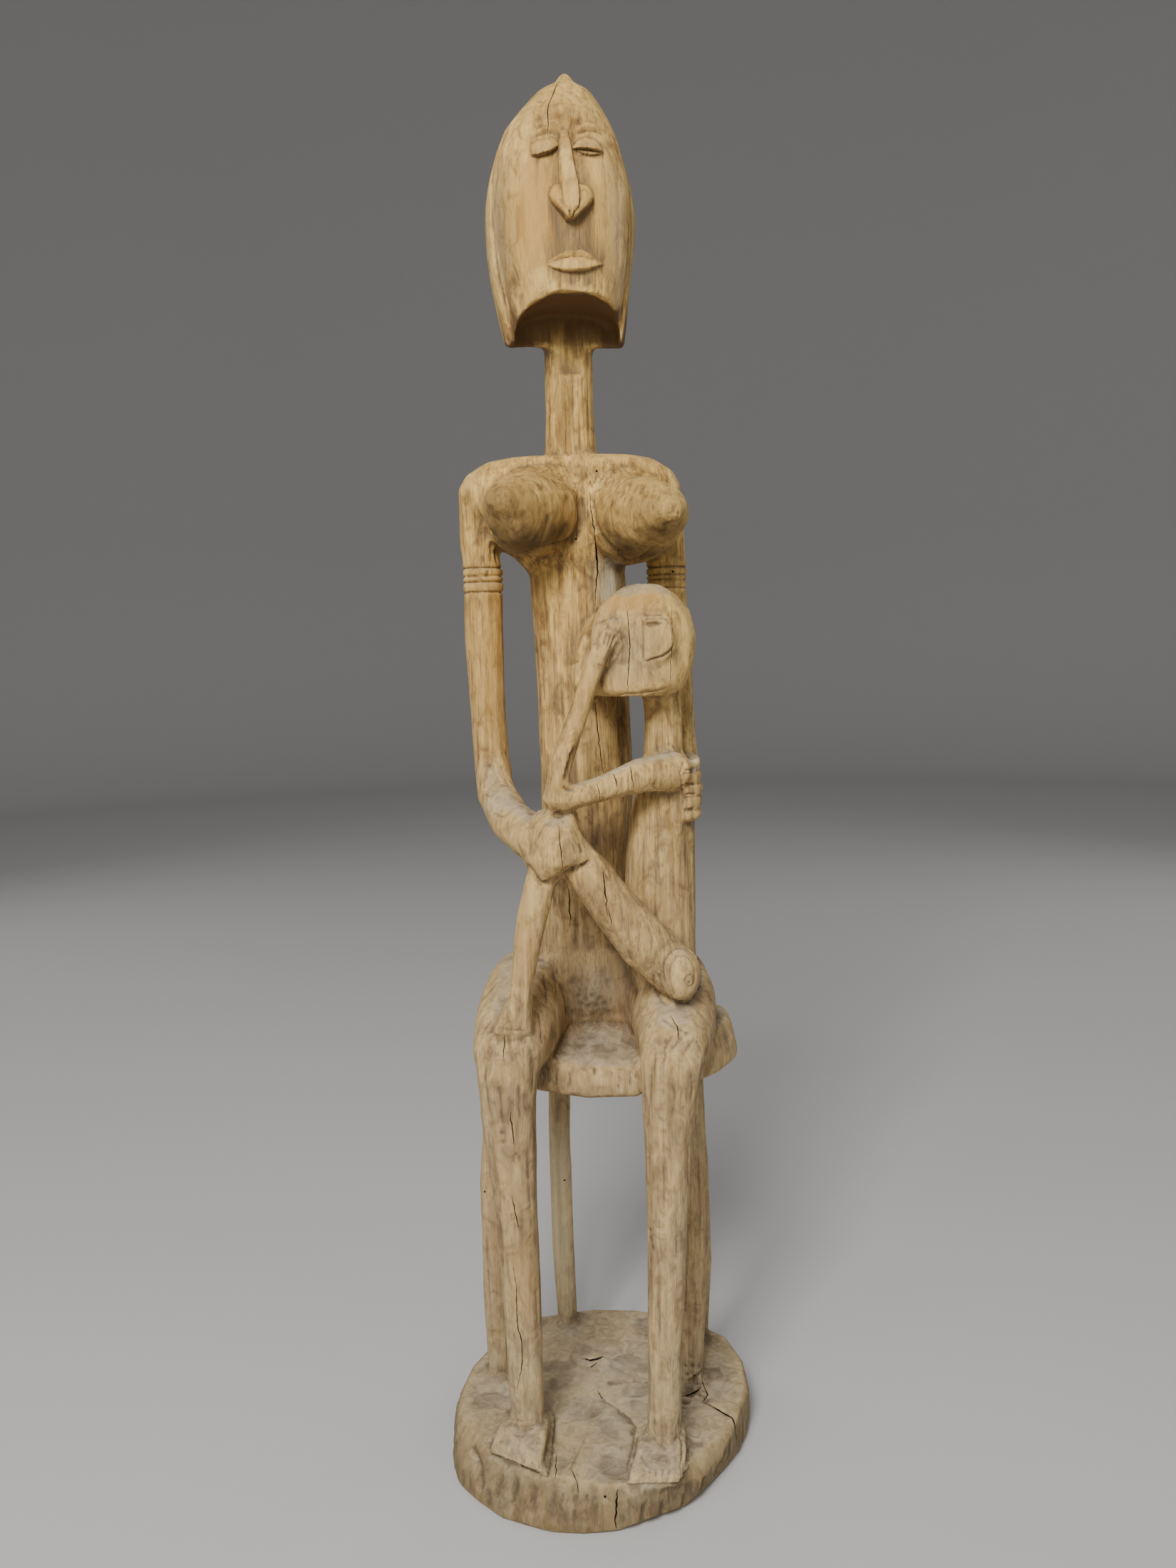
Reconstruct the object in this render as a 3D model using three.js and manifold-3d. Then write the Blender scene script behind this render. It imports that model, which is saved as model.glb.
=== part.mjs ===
// Seated mother with a child on her left thigh, carved with a four legged stool and a round
// base from one log. Millimetres, Z up from the underside of the base. X runs to the viewer's
// right, so the mother's right side is at negative X, and the front faces negative Y.
import * as THREE from 'three';
import { mergeVertices } from 'three/addons/utils/BufferGeometryUtils.js';
import { ConvexGeometry } from 'three/addons/geometries/ConvexGeometry.js';
import Module from 'manifold-3d';

// Driving sizes
const figureHeight = 1304;
const baseMargin = 5;
const baseThickness = 45;
const seatWidth = 264;
const seatDepth = 208;
const seatThickness = 46;
const seatSideThickness = 47;
const seatHollow = 16;
const stoolLegRadius = 13.5;
const braceletHeight = 11;
const braceletGap = 1.5;
const braceletRise = 1.3;
const fingerRadius = 6.2;
const headTurn = 8;

// The carving is drawn in parts, 1304 of them from the top of the base to the tip of the head
const drawnHeight = 1304;
const part = figureHeight / drawnHeight;
const headAxis = [-7, 8];
const seatCentre = [20, 48];
const seatMiddle = 352;

// Each stool leg's foot, shin, knee and top, as shares of the seat's half sizes from its middle,
// and how stout the leg is
const stoolLegs = [
  [[-0.97, -0.115], [-0.985, -0.125], [-0.97, -0.155], [-0.885, -0.21], 1],
  [[-0.425, 0.77], [-0.445, 0.77], [-0.445, 0.77], [-0.425, 0.75], 0.96],
  [[0.575, -0.335], [0.605, -0.355], [0.615, -0.375], [0.6, -0.405], 1.08],
  [[0.69, 0.385], [0.725, 0.385], [0.71, 0.375], [0.66, 0.345], 0.94],
];

// The base reaches round the mother's toes and the feet of the stool
const motherReach = 150 * part;
const stoolReach = Math.max(...stoolLegs.map(([[u, v]]) => Math.hypot(
  seatCentre[0] * part + u * seatWidth / 2, seatCentre[1] * part + v * seatDepth / 2)));
const baseRadius = Math.max(motherReach, stoolReach) + baseMargin;

const wasm = await Module();
wasm.setup();

const wood = new THREE.MeshStandardMaterial({ color: 0xb39a73, roughness: 0.86, metalness: 0 });

// A drawn place on the object, measured in parts from the middle of the base's top
function spot(x, y, z) {
  return new THREE.Vector3(x * part, y * part, baseThickness + z * part);
}

// A closed triangle mesh as a solid that can be joined and cut
function solid(geometry) {
  const bare = geometry.clone();
  bare.deleteAttribute('normal');
  bare.deleteAttribute('uv');
  const merged = mergeVertices(bare, 1e-3);
  const corners = [];
  for (let i = 0; i < merged.index.count; i += 3) {
    const [a, b, c] = [0, 1, 2].map((k) => merged.index.getX(i + k));
    if (a !== b && b !== c && c !== a) corners.push(a, b, c);
  }
  return new wasm.Manifold(new wasm.Mesh({
    numProp: 3,
    vertProperties: Float32Array.from(merged.attributes.position.array),
    triVerts: Uint32Array.from(corners),
  }));
}

// A point on a superellipse: square 2 is an ellipse, and larger values are squarer
function rim(angle, wide, deep, square) {
  const bend = (v) => Math.sign(v) * Math.abs(v) ** (2 / square);
  return [bend(Math.cos(angle)) * wide, bend(Math.sin(angle)) * deep];
}

// A limb: rings on a smooth path through stations of [x, y, z, half width, half depth].
// Level rings stay horizontal, the others stand square to the path, and a dome rounds an end.
function limb(stations, options = {}) {
  const { sides = 12, steps = 1, across = [1, 0, 0], level = false } = options;
  const { square = 2, domes = [0, 0], domeRows = 3, ripple = () => 1 } = options;
  const path = new THREE.CatmullRomCurve3(stations.map(([x, y, z]) => spot(x, y, z)));
  const girth = new THREE.CatmullRomCurve3(
    stations.map(([, , , wide, deep]) => new THREE.Vector3(wide * part, deep * part, 0)),
    false, 'catmullrom', 0.5);
  const runs = (stations.length - 1) * steps;
  const rings = [];
  for (let i = 0; i <= runs; i += 1) {
    const t = i / runs;
    const along = level ? new THREE.Vector3(0, 0, 1) : path.getTangent(t);
    const side = new THREE.Vector3(...across).projectOnPlane(along).normalize();
    const front = new THREE.Vector3().crossVectors(side, along);
    const size = girth.getPoint(t);
    rings.push({ middle: path.getPoint(t), along, side, front, wide: size.x, deep: size.y });
  }
  const first = rings[0];
  const last = rings[runs];
  const dome = (ring, rise, sign) => {
    const caps = [];
    for (let k = 1; k < domeRows; k += 1) {
      const lift = (k / domeRows) * Math.PI / 2;
      const shrink = Math.cos(lift);
      const up = sign * rise * part * Math.sin(lift);
      const middle = ring.middle.clone().addScaledVector(ring.along, up);
      caps.push({ ...ring, middle, wide: ring.wide * shrink, deep: ring.deep * shrink });
    }
    return caps;
  };
  if (domes[0]) rings.unshift(...dome(first, domes[0], -1).reverse());
  if (domes[1]) rings.push(...dome(last, domes[1], 1));
  const poles = [
    first.middle.clone().addScaledVector(first.along, -domes[0] * part),
    last.middle.clone().addScaledVector(last.along, domes[1] * part),
  ];
  const rows = rings.length - 1;
  const body = new THREE.CylinderGeometry(1, 1, 1, sides, rows);
  const points = body.attributes.position;
  for (let i = 0; i < points.count; i += 1) {
    const corner = new THREE.Vector3().fromBufferAttribute(points, i);
    const row = Math.round((corner.y + 0.5) * rows);
    const { middle, side, front, wide, deep } = rings[row];
    const place = poles[row === 0 ? 0 : 1].clone();
    if (Math.hypot(corner.x, corner.z) > 0.5) {
      const angle = Math.atan2(corner.z, corner.x);
      const swell = ripple(angle, row / rows);
      const [u, v] = rim(angle, wide * swell, deep * swell, square);
      place.copy(middle).addScaledVector(side, u).addScaledVector(front, v);
    }
    points.setXYZ(i, place.x, place.y, place.z);
  }
  return solid(body);
}

// An egg of three half sizes about a place, tipped about the line of sight by some degrees
function egg([x, y, z], [wide, deep, high], tip = 0, sides = 12) {
  const body = new THREE.SphereGeometry(1, sides, Math.max(6, Math.round(sides * 0.6)));
  body.rotateX(Math.PI / 2);
  body.scale(wide * part, deep * part, high * part);
  body.rotateY(THREE.MathUtils.degToRad(tip));
  const middle = spot(x, y, z);
  body.translate(middle.x, middle.y, middle.z);
  return solid(body);
}

// A chiselled block with flat faces through its corners
function block(corners) {
  return solid(new ConvexGeometry(corners.map(([x, y, z]) => spot(x, y, z))));
}

// A plate of a drawn outline in X and Z, from one depth towards the viewer to another
function plate(outline, back, front) {
  const shape = new THREE.Shape(outline.map(([x, z]) => new THREE.Vector2(x * part, z * part)));
  const body = new THREE.ExtrudeGeometry(shape, { depth: (back - front) * part, bevelEnabled: false });
  body.rotateX(Math.PI / 2);
  body.translate(0, back * part, baseThickness);
  return solid(body);
}

function joined(solids) {
  return solids.reduce((whole, next) => whole.add(next));
}

// The head is drawn facing straight ahead, and turned about its own upright axis
function turnHead(form) {
  const [x, y] = headAxis;
  return form.translate([-x * part, -y * part, 0]).rotate([0, 0, headTurn])
    .translate([x * part, y * part, 0]);
}

// The rough outline of the base: its radius every 30 degrees, as shares, from the viewer's
// right round by the back, at the top rim and at the foot
const rimShares = [1.02, 1.11, 1.02, 0.99, 1.01, 0.965, 0.97, 1, 0.94, 0.99, 1.025, 0.97];
const footShares = [1.005, 1.06, 1, 0.975, 0.985, 0.955, 0.99, 1.075, 1.07, 1.005, 0.975, 0.94];

function shareAt(shares, turn) {
  const place = turn * shares.length;
  const low = Math.floor(place) % shares.length;
  const blend = (1 - Math.cos((place - Math.floor(place)) * Math.PI)) / 2;
  return shares[low] * (1 - blend) + shares[(low + 1) % shares.length] * blend;
}

function makeBase() {
  const tall = baseThickness / part;
  const wide = baseRadius / part;
  const rough = (angle, up) => {
    const turn = (1 - angle / (2 * Math.PI)) % 1;
    const lean = Math.min(1, Math.max(0, up * 1.3 - 0.2));
    return shareAt(footShares, turn) * (1 - lean) + shareAt(rimShares, turn) * lean;
  };
  const profile = [[0, 0.985], [0.15, 1], [0.5, 1.005], [0.85, 1], [1, 0.978]];
  const rows = profile.map(([up, share]) => [0, 0, (up - 1) * tall, wide * share, wide * share]);
  return limb(rows, { sides: 36, level: true, ripple: rough });
}

function makeStool() {
  const [cx, cy] = seatCentre;
  const halfWide = seatWidth / 2 / part;
  const halfDeep = seatDepth / 2 / part;
  const thin = seatThickness / 2 / part;
  const thick = seatSideThickness / 2 / part;
  const hollow = seatHollow / part;
  const shares = [-0.96, -0.8, -0.55, -0.2, 0.2, 0.55, 0.8, 0.96];
  const slab = shares.map((s) => {
    const rise = s * s;
    const plan = Math.sqrt(1 - s * s);
    const half = thin + (thick - thin) * rise;
    return [cx + s * halfWide, cy, seatMiddle + hollow * rise, halfDeep * plan, half];
  });
  const seat = limb(slab, { sides: 20, across: [0, 1, 0], square: 5, domes: [5, 5], domeRows: 2 });
  const heights = [-6, 90, 220, seatMiddle];
  const posts = stoolLegs.map(([foot, shin, knee, top, share]) => {
    const thick = stoolLegRadius / part * share;
    const places = [foot, shin, knee, top].map(([u, v], i) => (
      [cx + u * halfWide, cy + v * halfDeep, heights[i], i === 0 ? thick * 0.93 : thick, thick]));
    return limb(places, { sides: 10, level: true, square: 2.3 });
  });
  return joined([seat, ...posts]);
}

function makeLowerBody() {
  const pelvis = limb([
    [5, 45, 348, 94, 50], [5, 46, 392, 98, 52], [4, 46, 432, 80, 49], [2, 44, 468, 52, 45],
  ], { sides: 18, level: true, square: 2.5 });
  const rightThigh = limb([
    [-63, 50, 410, 43, 54], [-67, 8, 408, 45, 53], [-74, -45, 402, 40, 43], [-79, -86, 391, 33, 31],
  ], { sides: 14, square: 2.2, steps: 2, domes: [12, 16] });
  const leftThigh = limb([
    [80, 50, 413, 45, 54], [84, 5, 411, 45, 52], [82, -50, 404, 40, 43], [78, -94, 396, 32.5, 30],
  ], { sides: 14, square: 2.2, steps: 2, domes: [12, 18] });
  const rightLeg = limb([
    [-72.5, -75, -4, 17, 17], [-72.5, -76, 87, 18.2, 18.5], [-73.6, -78, 162, 19.7, 20],
    [-75.5, -80, 236, 21.3, 22], [-78.6, -81, 309, 25.5, 27], [-80, -82, 349, 27.8, 30],
    [-79, -82, 385, 31, 33],
  ], { level: true, domes: [0, 22] });
  const leftLeg = limb([
    [60.6, -100, -4, 17.6, 17.5], [63.2, -100, 98, 17.2, 18], [66, -100, 171, 18.3, 19],
    [68.5, -100, 242, 19.9, 21], [70.7, -98, 311, 23.1, 25], [72.8, -97, 353, 27, 28],
    [76, -95, 392, 31, 31],
  ], { level: true, domes: [0, 22] });
  return joined([pelvis, rightThigh, leftThigh, rightLeg, leftLeg, makeFeet()]);
}

function makeFeet() {
  const rightFoot = block([
    [-98, -62, -5], [-50, -64, -5], [-110, -97, -5], [-58, -130, -5],
    [-97, -64, 18], [-50, -64, 18], [-98, -88, 20], [-52, -96, 21], [-107, -98, 8], [-60, -127, 8],
  ]);
  const leftFoot = block([
    [39, -80, -5], [83, -80, -5], [22, -148, -5], [74, -150, -5],
    [40, -82, 18], [82, -82, 18], [36, -116, 19], [82, -116, 19], [25, -145, 8], [73, -147, 8],
  ]);
  return joined([rightFoot, leftFoot]);
}

function makeTrunk() {
  const torso = limb([
    [-1, 44, 380, 49, 45], [-4, 43, 487, 46, 42], [0, 43, 560, 46.7, 43], [3.8, 43, 642, 47.8, 44],
    [2.7, 43, 722, 47.1, 44], [1.9, 43, 794, 48.2, 44], [-0.5, 42, 851, 48.7, 43],
    [-3, 38, 900, 60, 40],
  ], { sides: 18, level: true, square: 2.3 });
  const yoke = limb([
    [-4, 40, 848, 44, 38], [-4, 36, 864, 58, 41], [-5, 32, 882, 86, 41], [-5.5, 30, 905, 105, 38],
    [-5.5, 29, 928, 111, 36], [-5.5, 28, 944, 103, 32], [-5, 28, 956, 83, 27], [-4, 28, 960, 60, 22],
  ], { sides: 20, level: true, square: 2.6 });
  const neck = limb([
    [-2.4, 31, 940, 28, 27], [-3.3, 31, 967, 26, 26.5], [-3.2, 31, 1014, 24.6, 25.5],
    [-2.4, 31, 1096, 23.4, 25],
  ], { level: true });
  const rightBreast = limb([
    [-33, 26, 903, 39, 39], [-37, -8, 902, 41, 40], [-51, -40, 904, 37, 34],
    [-61, -66, 905, 27, 25], [-68, -85, 906, 12, 11],
  ], { sides: 16, domes: [0, 5] });
  const leftBreast = limb([
    [50, 26, 895, 42, 42], [55, -8, 894, 43, 42], [69, -42, 895, 37.5, 35],
    [80, -66, 895, 27, 25], [86, -85, 894, 13, 11],
  ], { sides: 16, domes: [0, 5] });
  return joined([torso, yoke, neck, rightBreast, leftBreast]);
}

function makeBracelets(x, y) {
  const middle = 843;
  const [armWide, armDeep] = [20, 20.5];
  const half = braceletHeight / 2 / part;
  const rise = braceletRise / part;
  const apart = half + braceletGap / 2 / part;
  const bands = [middle - apart, middle + apart].map((height) => limb([
    [x, y, height - half, armWide + rise, armDeep + rise],
    [x, y, height + half, armWide + rise, armDeep + rise],
  ], { level: true }));
  return joined(bands);
}

function makeRightArm() {
  const arm = limb([
    [-99, 28, 932, 16.5, 20], [-97, 30, 881, 19.3, 20], [-94.3, 30, 843, 19.9, 20],
    [-95, 30, 783, 20, 20], [-94, 29, 711, 18, 19], [-92, 27, 664, 18.3, 19],
    [-87, 14, 630, 20, 21], [-72, -18, 608, 21, 22], [-52, -55, 598, 22, 23], [-38, -80, 595, 23, 24],
  ], { domes: [8, 8] });
  const hand = block([
    [-44, -66, 628], [-6, -66, 625], [12, -74, 580], [-20, -80, 560], [-40, -76, 554], [-62, -72, 578],
    [-41, -90, 623], [-9, -93, 622], [6, -100, 582], [-20, -106, 570], [-38, -104, 563],
    [-54, -98, 580], [-24, -117, 596], [-33, -110, 611], [-12, -110, 607], [-2, -110, 588],
    [-34, -116, 582], [-20, -116, 577],
  ]);
  return joined([arm, hand, makeBracelets(-94.3, 30)]);
}

function makeLeftArm() {
  const arm = limb([
    [89, 30, 932, 15, 19], [88.6, 34, 887, 19.5, 20], [89.6, 35, 841, 20, 20], [93, 35, 777, 20, 20],
    [94.8, 34, 706, 19.6, 20], [97, 26, 660, 21, 21], [98, 2, 632, 17, 32],
  ], { domes: [8, 8] });
  const thick = fingerRadius / part;
  const topFinger = 661;
  const fingers = [0, 1, 2, 3, 4].map((i) => {
    const height = topFinger - i * 2 * thick;
    return limb([
      [108, 14, height, thick, thick],
      [113.5 - 1.2 * Math.abs(i - 2), -14, height, thick, thick],
      [108, -36, height, thick, thick],
      [98, -47, height - 1, thick * 0.9, thick * 0.9],
    ], { sides: 6, across: [0, 0, 1], domes: [0, 3], domeRows: 2 });
  });
  return joined([arm, ...fingers, makeBracelets(89.6, 35)]);
}

function makeHead() {
  const coif = limb([
    [-5, 14, 1059, 57, 54], [-6.6, 11, 1090, 62.4, 64], [-7.5, 9, 1116, 66.6, 69],
    [-7.7, 8, 1142, 69.5, 72], [-7, 8, 1168, 71.3, 73], [-7.3, 8, 1188, 70, 72],
    [-7.4, 8, 1206, 66.7, 69], [-6.6, 8, 1231, 59.8, 63], [-6.1, 7, 1250, 52.3, 55],
    [-3.5, 6, 1267, 40.4, 43], [-1.3, 4, 1283, 27.1, 29], [0, 2, 1293.5, 10, 11], [0, 1, 1300, 6, 6],
  ], { sides: 22, level: true, square: 2.1, domes: [0, 4], domeRows: 2 });
  const face = limb([
    [-7, 0, 1062, 47, 54], [-7, -2, 1090, 54, 60], [-7, -2, 1116, 60, 62],
    [-7, -2, 1142, 64, 63], [-7, -2, 1180, 66, 62], [-7, -1, 1206, 63.5, 59],
    [-6.6, 0, 1231, 57, 53], [-6, 2, 1250, 49, 46],
  ], { sides: 22, level: true, square: 2.3 });
  // The coif ends in two side edges at the front, and the face stands between them
  const below = 1030;
  const clear = 140;
  const [edgeDepth, edgeTop] = [-13, 1226];
  const front = block([-clear, clear].flatMap((x) => [below, edgeTop].flatMap((z) => (
    [edgeDepth, -clear].map((y) => [x, y, z])))));
  // The rim of the coif rises from the middle of the neck to the nape
  const [napeFront, rimLow, rimHigh] = [12, 1060, 1084];
  const nape = block([-clear, clear].flatMap((x) => [
    [x, napeFront, below], [x, napeFront, rimLow], [x, clear, below],
    [x, clear, rimLow + (rimHigh - rimLow) * (clear - napeFront) / 88],
  ]));
  // Under the chin the wood is cut away in an arch between two lappets
  const arch = { middle: -5, foot: 1062, wide: 48, rise: 25, back: 10, steps: 10 };
  const archLine = [[arch.middle - arch.wide, below], [arch.middle + arch.wide, below]];
  for (let i = 0; i <= arch.steps; i += 1) {
    const [u, v] = rim(i / arch.steps * Math.PI, arch.wide, arch.rise, 2.6);
    archLine.push([arch.middle + u, arch.foot + v]);
  }
  const chinCut = plate(archLine, arch.back, -clear);
  const form = coif.subtract(front).add(face).subtract(chinCut).subtract(nape);
  const features = joined([makeNose(), makeEyes(), makeLips().subtract(makeMouthCut())]);
  return turnHead(form.add(features));
}

function makeNose() {
  const ridge = block([
    [-13, -50, 1222], [-1, -50, 1222], [-11, -66, 1222], [-3, -66, 1222],
    [-15, -55, 1172], [1, -55, 1172], [-12, -76, 1176], [-2, -76, 1176],
  ]);
  const base = block([
    [-7, -62, 1188], [-27, -58, 1173], [13, -58, 1173], [-22, -70, 1168], [8, -70, 1168],
    [-7, -79, 1172], [-9, -86, 1146], [-5, -86, 1146], [-7, -60, 1136], [-7, -82, 1139],
  ]);
  return joined([ridge, base]);
}

function makeEyes() {
  const right = block([
    [-41, -49, 1202], [-16, -61, 1213], [-17, -58, 1224], [-38, -50, 1217], [-29, -64, 1207],
    [-38, -40, 1204], [-16, -45, 1213], [-17, -45, 1222],
  ]);
  const left = block([
    [-3, -61, 1212], [26, -52, 1210], [11, -66, 1206], [-2, -59, 1224], [23, -52, 1220],
    [-3, -45, 1212], [24, -42, 1210], [10, -45, 1224],
  ]);
  return joined([right, left]);
}

function makeLips() {
  return egg([-6, -62, 1112], [26, 10, 11], 0, 10);
}

function makeMouthCut() {
  return block([
    [-34, -80, 1114.5], [22, -80, 1114.5], [-34, -80, 1118], [22, -80, 1118],
    [-34, -66, 1116], [22, -66, 1116],
  ]);
}

function makeChild() {
  const skull = limb([
    [52, -42, 727, 34, 33], [53, -43, 734, 45, 39], [57, -43, 752, 50, 41], [60, -43, 784, 50.5, 42],
    [60, -43, 806, 44.5, 39], [60, -43, 820, 33, 31], [61, -43, 828, 20, 19],
  ], { sides: 18, level: true, square: 2.5, domes: [0, 4] });
  const face = limb([
    [17, -17, 728, 21, 20], [13, -17, 741, 23, 22], [12, -16, 757, 22, 21], [15, -17, 775, 20, 21],
    [22, -18, 795, 18, 22], [30, -20, 808, 14, 20],
  ], { level: true, square: 2.3 });
  // The ear is a flat D, its straight side towards the face
  const lobe = { x: 60, z: 780, wide: 28, high: 23, front: -87.5, back: -40, steps: 10 };
  const earLine = [];
  for (let i = 0; i <= lobe.steps; i += 1) {
    const [u, v] = rim((i / lobe.steps - 0.5) * Math.PI, lobe.wide, lobe.high, 2.4);
    earLine.push([lobe.x + u, lobe.z + v]);
  }
  const ear = plate(earLine, lobe.back, lobe.front);
  const neck = limb([[79, -20, 668, 20, 19], [79, -21, 705, 19, 18], [78, -22, 740, 20, 19]],
    { level: true });
  const trunk = limb([
    [76, -12, 440, 33, 34], [73.3, -14, 484, 34.2, 36], [72.8, -14, 527, 35.5, 36],
    [74, -14, 569, 34.3, 35], [77, -15, 612, 32, 33], [80, -17, 645, 28, 29], [80, -18, 664, 23, 24],
  ], { sides: 16, level: true, square: 2.4, domes: [0, 12] });
  const upperArm = limb([
    [90, -42, 655, 20, 20], [54, -66, 654, 17, 17], [21, -81, 645, 13, 13], [-10, -88, 637, 12, 12.5],
    [-28, -88, 637, 13, 13],
  ], { sides: 10, across: [0, 0, 1], domes: [8, 8] });
  const forearm = limb([
    [-27, -88, 632, 13, 13], [-20, -88, 666, 11, 12], [-7, -86, 702, 10.3, 11], [7, -85, 741, 10, 10.5],
    [20, -85, 772, 10.5, 9], [28, -84, 785, 12.5, 7.5], [33, -83, 795, 12, 6],
  ], { sides: 10, domes: [0, 4] });
  const thigh = limb([
    [84, -62, 463, 25, 26], [54, -78, 496, 26, 26], [25, -84, 535, 23, 23], [-1, -87, 573, 20.5, 21],
    [-24, -87, 600, 19, 20],
  ], { sides: 14, domes: [10, 16] });
  const hip = egg([84, -76, 464], [19, 19, 24], 0, 10);
  const shin = limb([
    [-34, -86, 592, 16, 16], [-42.5, -86, 557, 15.5, 16], [-51, -88, 525, 15, 15],
    [-58, -90, 491, 13, 13], [-63, -92, 458, 11.5, 12], [-65, -92, 432, 11.5, 12],
  ], { sides: 10, domes: [6, 0] });
  const foot = block([
    [-52, -76, 418], [-54, -100, 418], [-90, -86, 418], [-88, -108, 418], [-54, -78, 446],
    [-56, -98, 446], [-74, -82, 452], [-76, -100, 450], [-91, -88, 426], [-89, -106, 426],
  ]);
  return joined([skull, face, ear, neck, trunk, upperArm, forearm, thigh, hip, shin, foot]);
}

function makeFigure() {
  const whole = joined([
    makeBase(), makeStool(), makeLowerBody(), makeTrunk(), makeRightArm(), makeLeftArm(), makeHead(),
    makeChild(),
  ]);
  const { vertProperties, triVerts } = whole.getMesh();
  const shell = new THREE.BufferGeometry();
  shell.setAttribute('position', new THREE.BufferAttribute(Float32Array.from(vertProperties), 3));
  shell.setIndex(new THREE.BufferAttribute(Uint32Array.from(triVerts), 1));
  shell.computeBoundingBox();
  const middle = shell.boundingBox.getCenter(new THREE.Vector3());
  shell.translate(-middle.x, -middle.y, 0);
  shell.computeVertexNormals();
  const mesh = new THREE.Mesh(shell, wood);
  mesh.name = 'maternity_figure';
  return mesh;
}

const figure = new THREE.Group();
figure.add(makeFigure());

export default figure;
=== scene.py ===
import math

import bpy
import numpy as np
from mathutils import Matrix, Vector
from mathutils.bvhtree import BVHTree


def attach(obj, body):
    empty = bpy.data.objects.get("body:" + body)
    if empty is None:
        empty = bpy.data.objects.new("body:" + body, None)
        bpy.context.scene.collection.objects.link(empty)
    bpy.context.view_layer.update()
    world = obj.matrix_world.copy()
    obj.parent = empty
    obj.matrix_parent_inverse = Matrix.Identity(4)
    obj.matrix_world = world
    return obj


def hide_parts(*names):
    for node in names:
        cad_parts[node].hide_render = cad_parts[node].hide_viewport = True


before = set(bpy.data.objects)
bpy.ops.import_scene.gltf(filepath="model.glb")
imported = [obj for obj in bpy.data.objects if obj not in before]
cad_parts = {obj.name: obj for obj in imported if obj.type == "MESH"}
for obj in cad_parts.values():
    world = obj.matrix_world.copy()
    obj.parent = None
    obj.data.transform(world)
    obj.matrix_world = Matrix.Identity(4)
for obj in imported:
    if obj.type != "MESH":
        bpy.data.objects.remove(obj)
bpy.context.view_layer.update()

# A seated mother with a child on her thigh, her stool and a rough round base, all carved from one
# log. The carving is worked in millimetres, and stands in the scene in metres.
MM = 0.001

# The eye that sees the carving, and how it looks: a little down, with a slight roll
EYE = Vector((2.35, -1156.6, 818.4))
AIM = Matrix.Rotation(math.radians(90 - 6.6), 3, "X") @ Matrix.Rotation(math.radians(-1.6), 3, "Z")
PICTURE = (1650, 2200)
LENS, FILM = 27, 36
FOCUS = PICTURE[1] * LENS / FILM


def look():
    bpy.ops.object.camera_add(location=EYE * MM, rotation=AIM.to_euler())
    camera = bpy.context.object
    camera.data.lens = LENS
    camera.data.sensor_width = FILM
    camera.data.clip_end = 60
    bpy.context.scene.camera = camera


def sight(u, v):
    """The direction in which the eye sees the place (u, v) of the picture."""
    x = (u - PICTURE[0] / 2) / FOCUS
    y = (PICTURE[1] / 2 - v) / FOCUS
    return (AIM @ Vector((x, y, -1))).normalized()


def seen(u, v):
    """The place on the wood that is seen at (u, v) or, beside the wood, on the plane y = 0."""
    ray = sight(u, v)
    hit, spot, _, _ = carving.ray_cast(EYE * MM, ray)
    return np.array(spot) / MM if hit else np.array(EYE + ray * (-EYE.y / ray.y))


def rounded(u, v, wide, tall, first=0, last=360, count=25):
    """Dots on an oval in the picture."""
    angles = np.radians(np.linspace(first, last, count))
    return [(u + wide * math.cos(a), v + tall * math.sin(a)) for a in angles]


def traced(dots):
    """The line on the wood through dots, each seen in the picture or given as a place."""
    return np.array([dot if len(dot) == 3 else seen(*dot) for dot in dots], float)


def pictured(spots):
    """Where spots fall in the picture."""
    gap = (spots - np.array(EYE)) @ np.array(AIM)
    return PICTURE[0] / 2 - FOCUS * gap[:, 0] / gap[:, 2], PICTURE[1] / 2 + FOCUS * gap[:, 1] / gap[:, 2]


# Rough shaping: the solid's form, with its facets worked smooth

ROUGH_VOXEL, JOINED_VOXEL, WORKED_VOXEL = 2.2 * MM, 1.6 * MM, 1.9 * MM


def alone(thing):
    if bpy.context.object and bpy.context.object.mode != "OBJECT":
        bpy.ops.object.mode_set(mode="OBJECT")
    bpy.ops.object.select_all(action="DESELECT")
    thing.select_set(True)
    bpy.context.view_layer.objects.active = thing


def finish_with(thing, kind, **values):
    alone(thing)
    step = thing.modifiers.new(kind.lower(), kind)
    for key, value in values.items():
        setattr(step, key, value)
    bpy.ops.object.modifier_apply(modifier=step.name)


def combine(thing, other, operation, **values):
    """Adds another closed shape to a thing, or takes it away, and uses it up."""
    finish_with(thing, "BOOLEAN", operation=operation, solver="MANIFOLD", object=other, **values)
    bpy.data.objects.remove(other)


def face_outwards(thing):
    alone(thing)
    bpy.ops.object.mode_set(mode="EDIT")
    bpy.ops.mesh.select_all(action="SELECT")
    bpy.ops.mesh.normals_make_consistent(inside=False)
    bpy.ops.object.mode_set(mode="OBJECT")


def read(thing, what="co"):
    flat = np.empty(len(thing.data.vertices) * 3, np.float32)
    thing.data.vertices.foreach_get(what, flat)
    return flat.reshape(-1, 3).astype(np.float64)


def put(thing, spots):
    thing.data.vertices.foreach_set("co", (spots * MM).astype(np.float32).ravel())
    thing.data.update()


def within(spots, low, high):
    return ((spots > np.array(low)) & (spots < np.array(high))).all(1)


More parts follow.
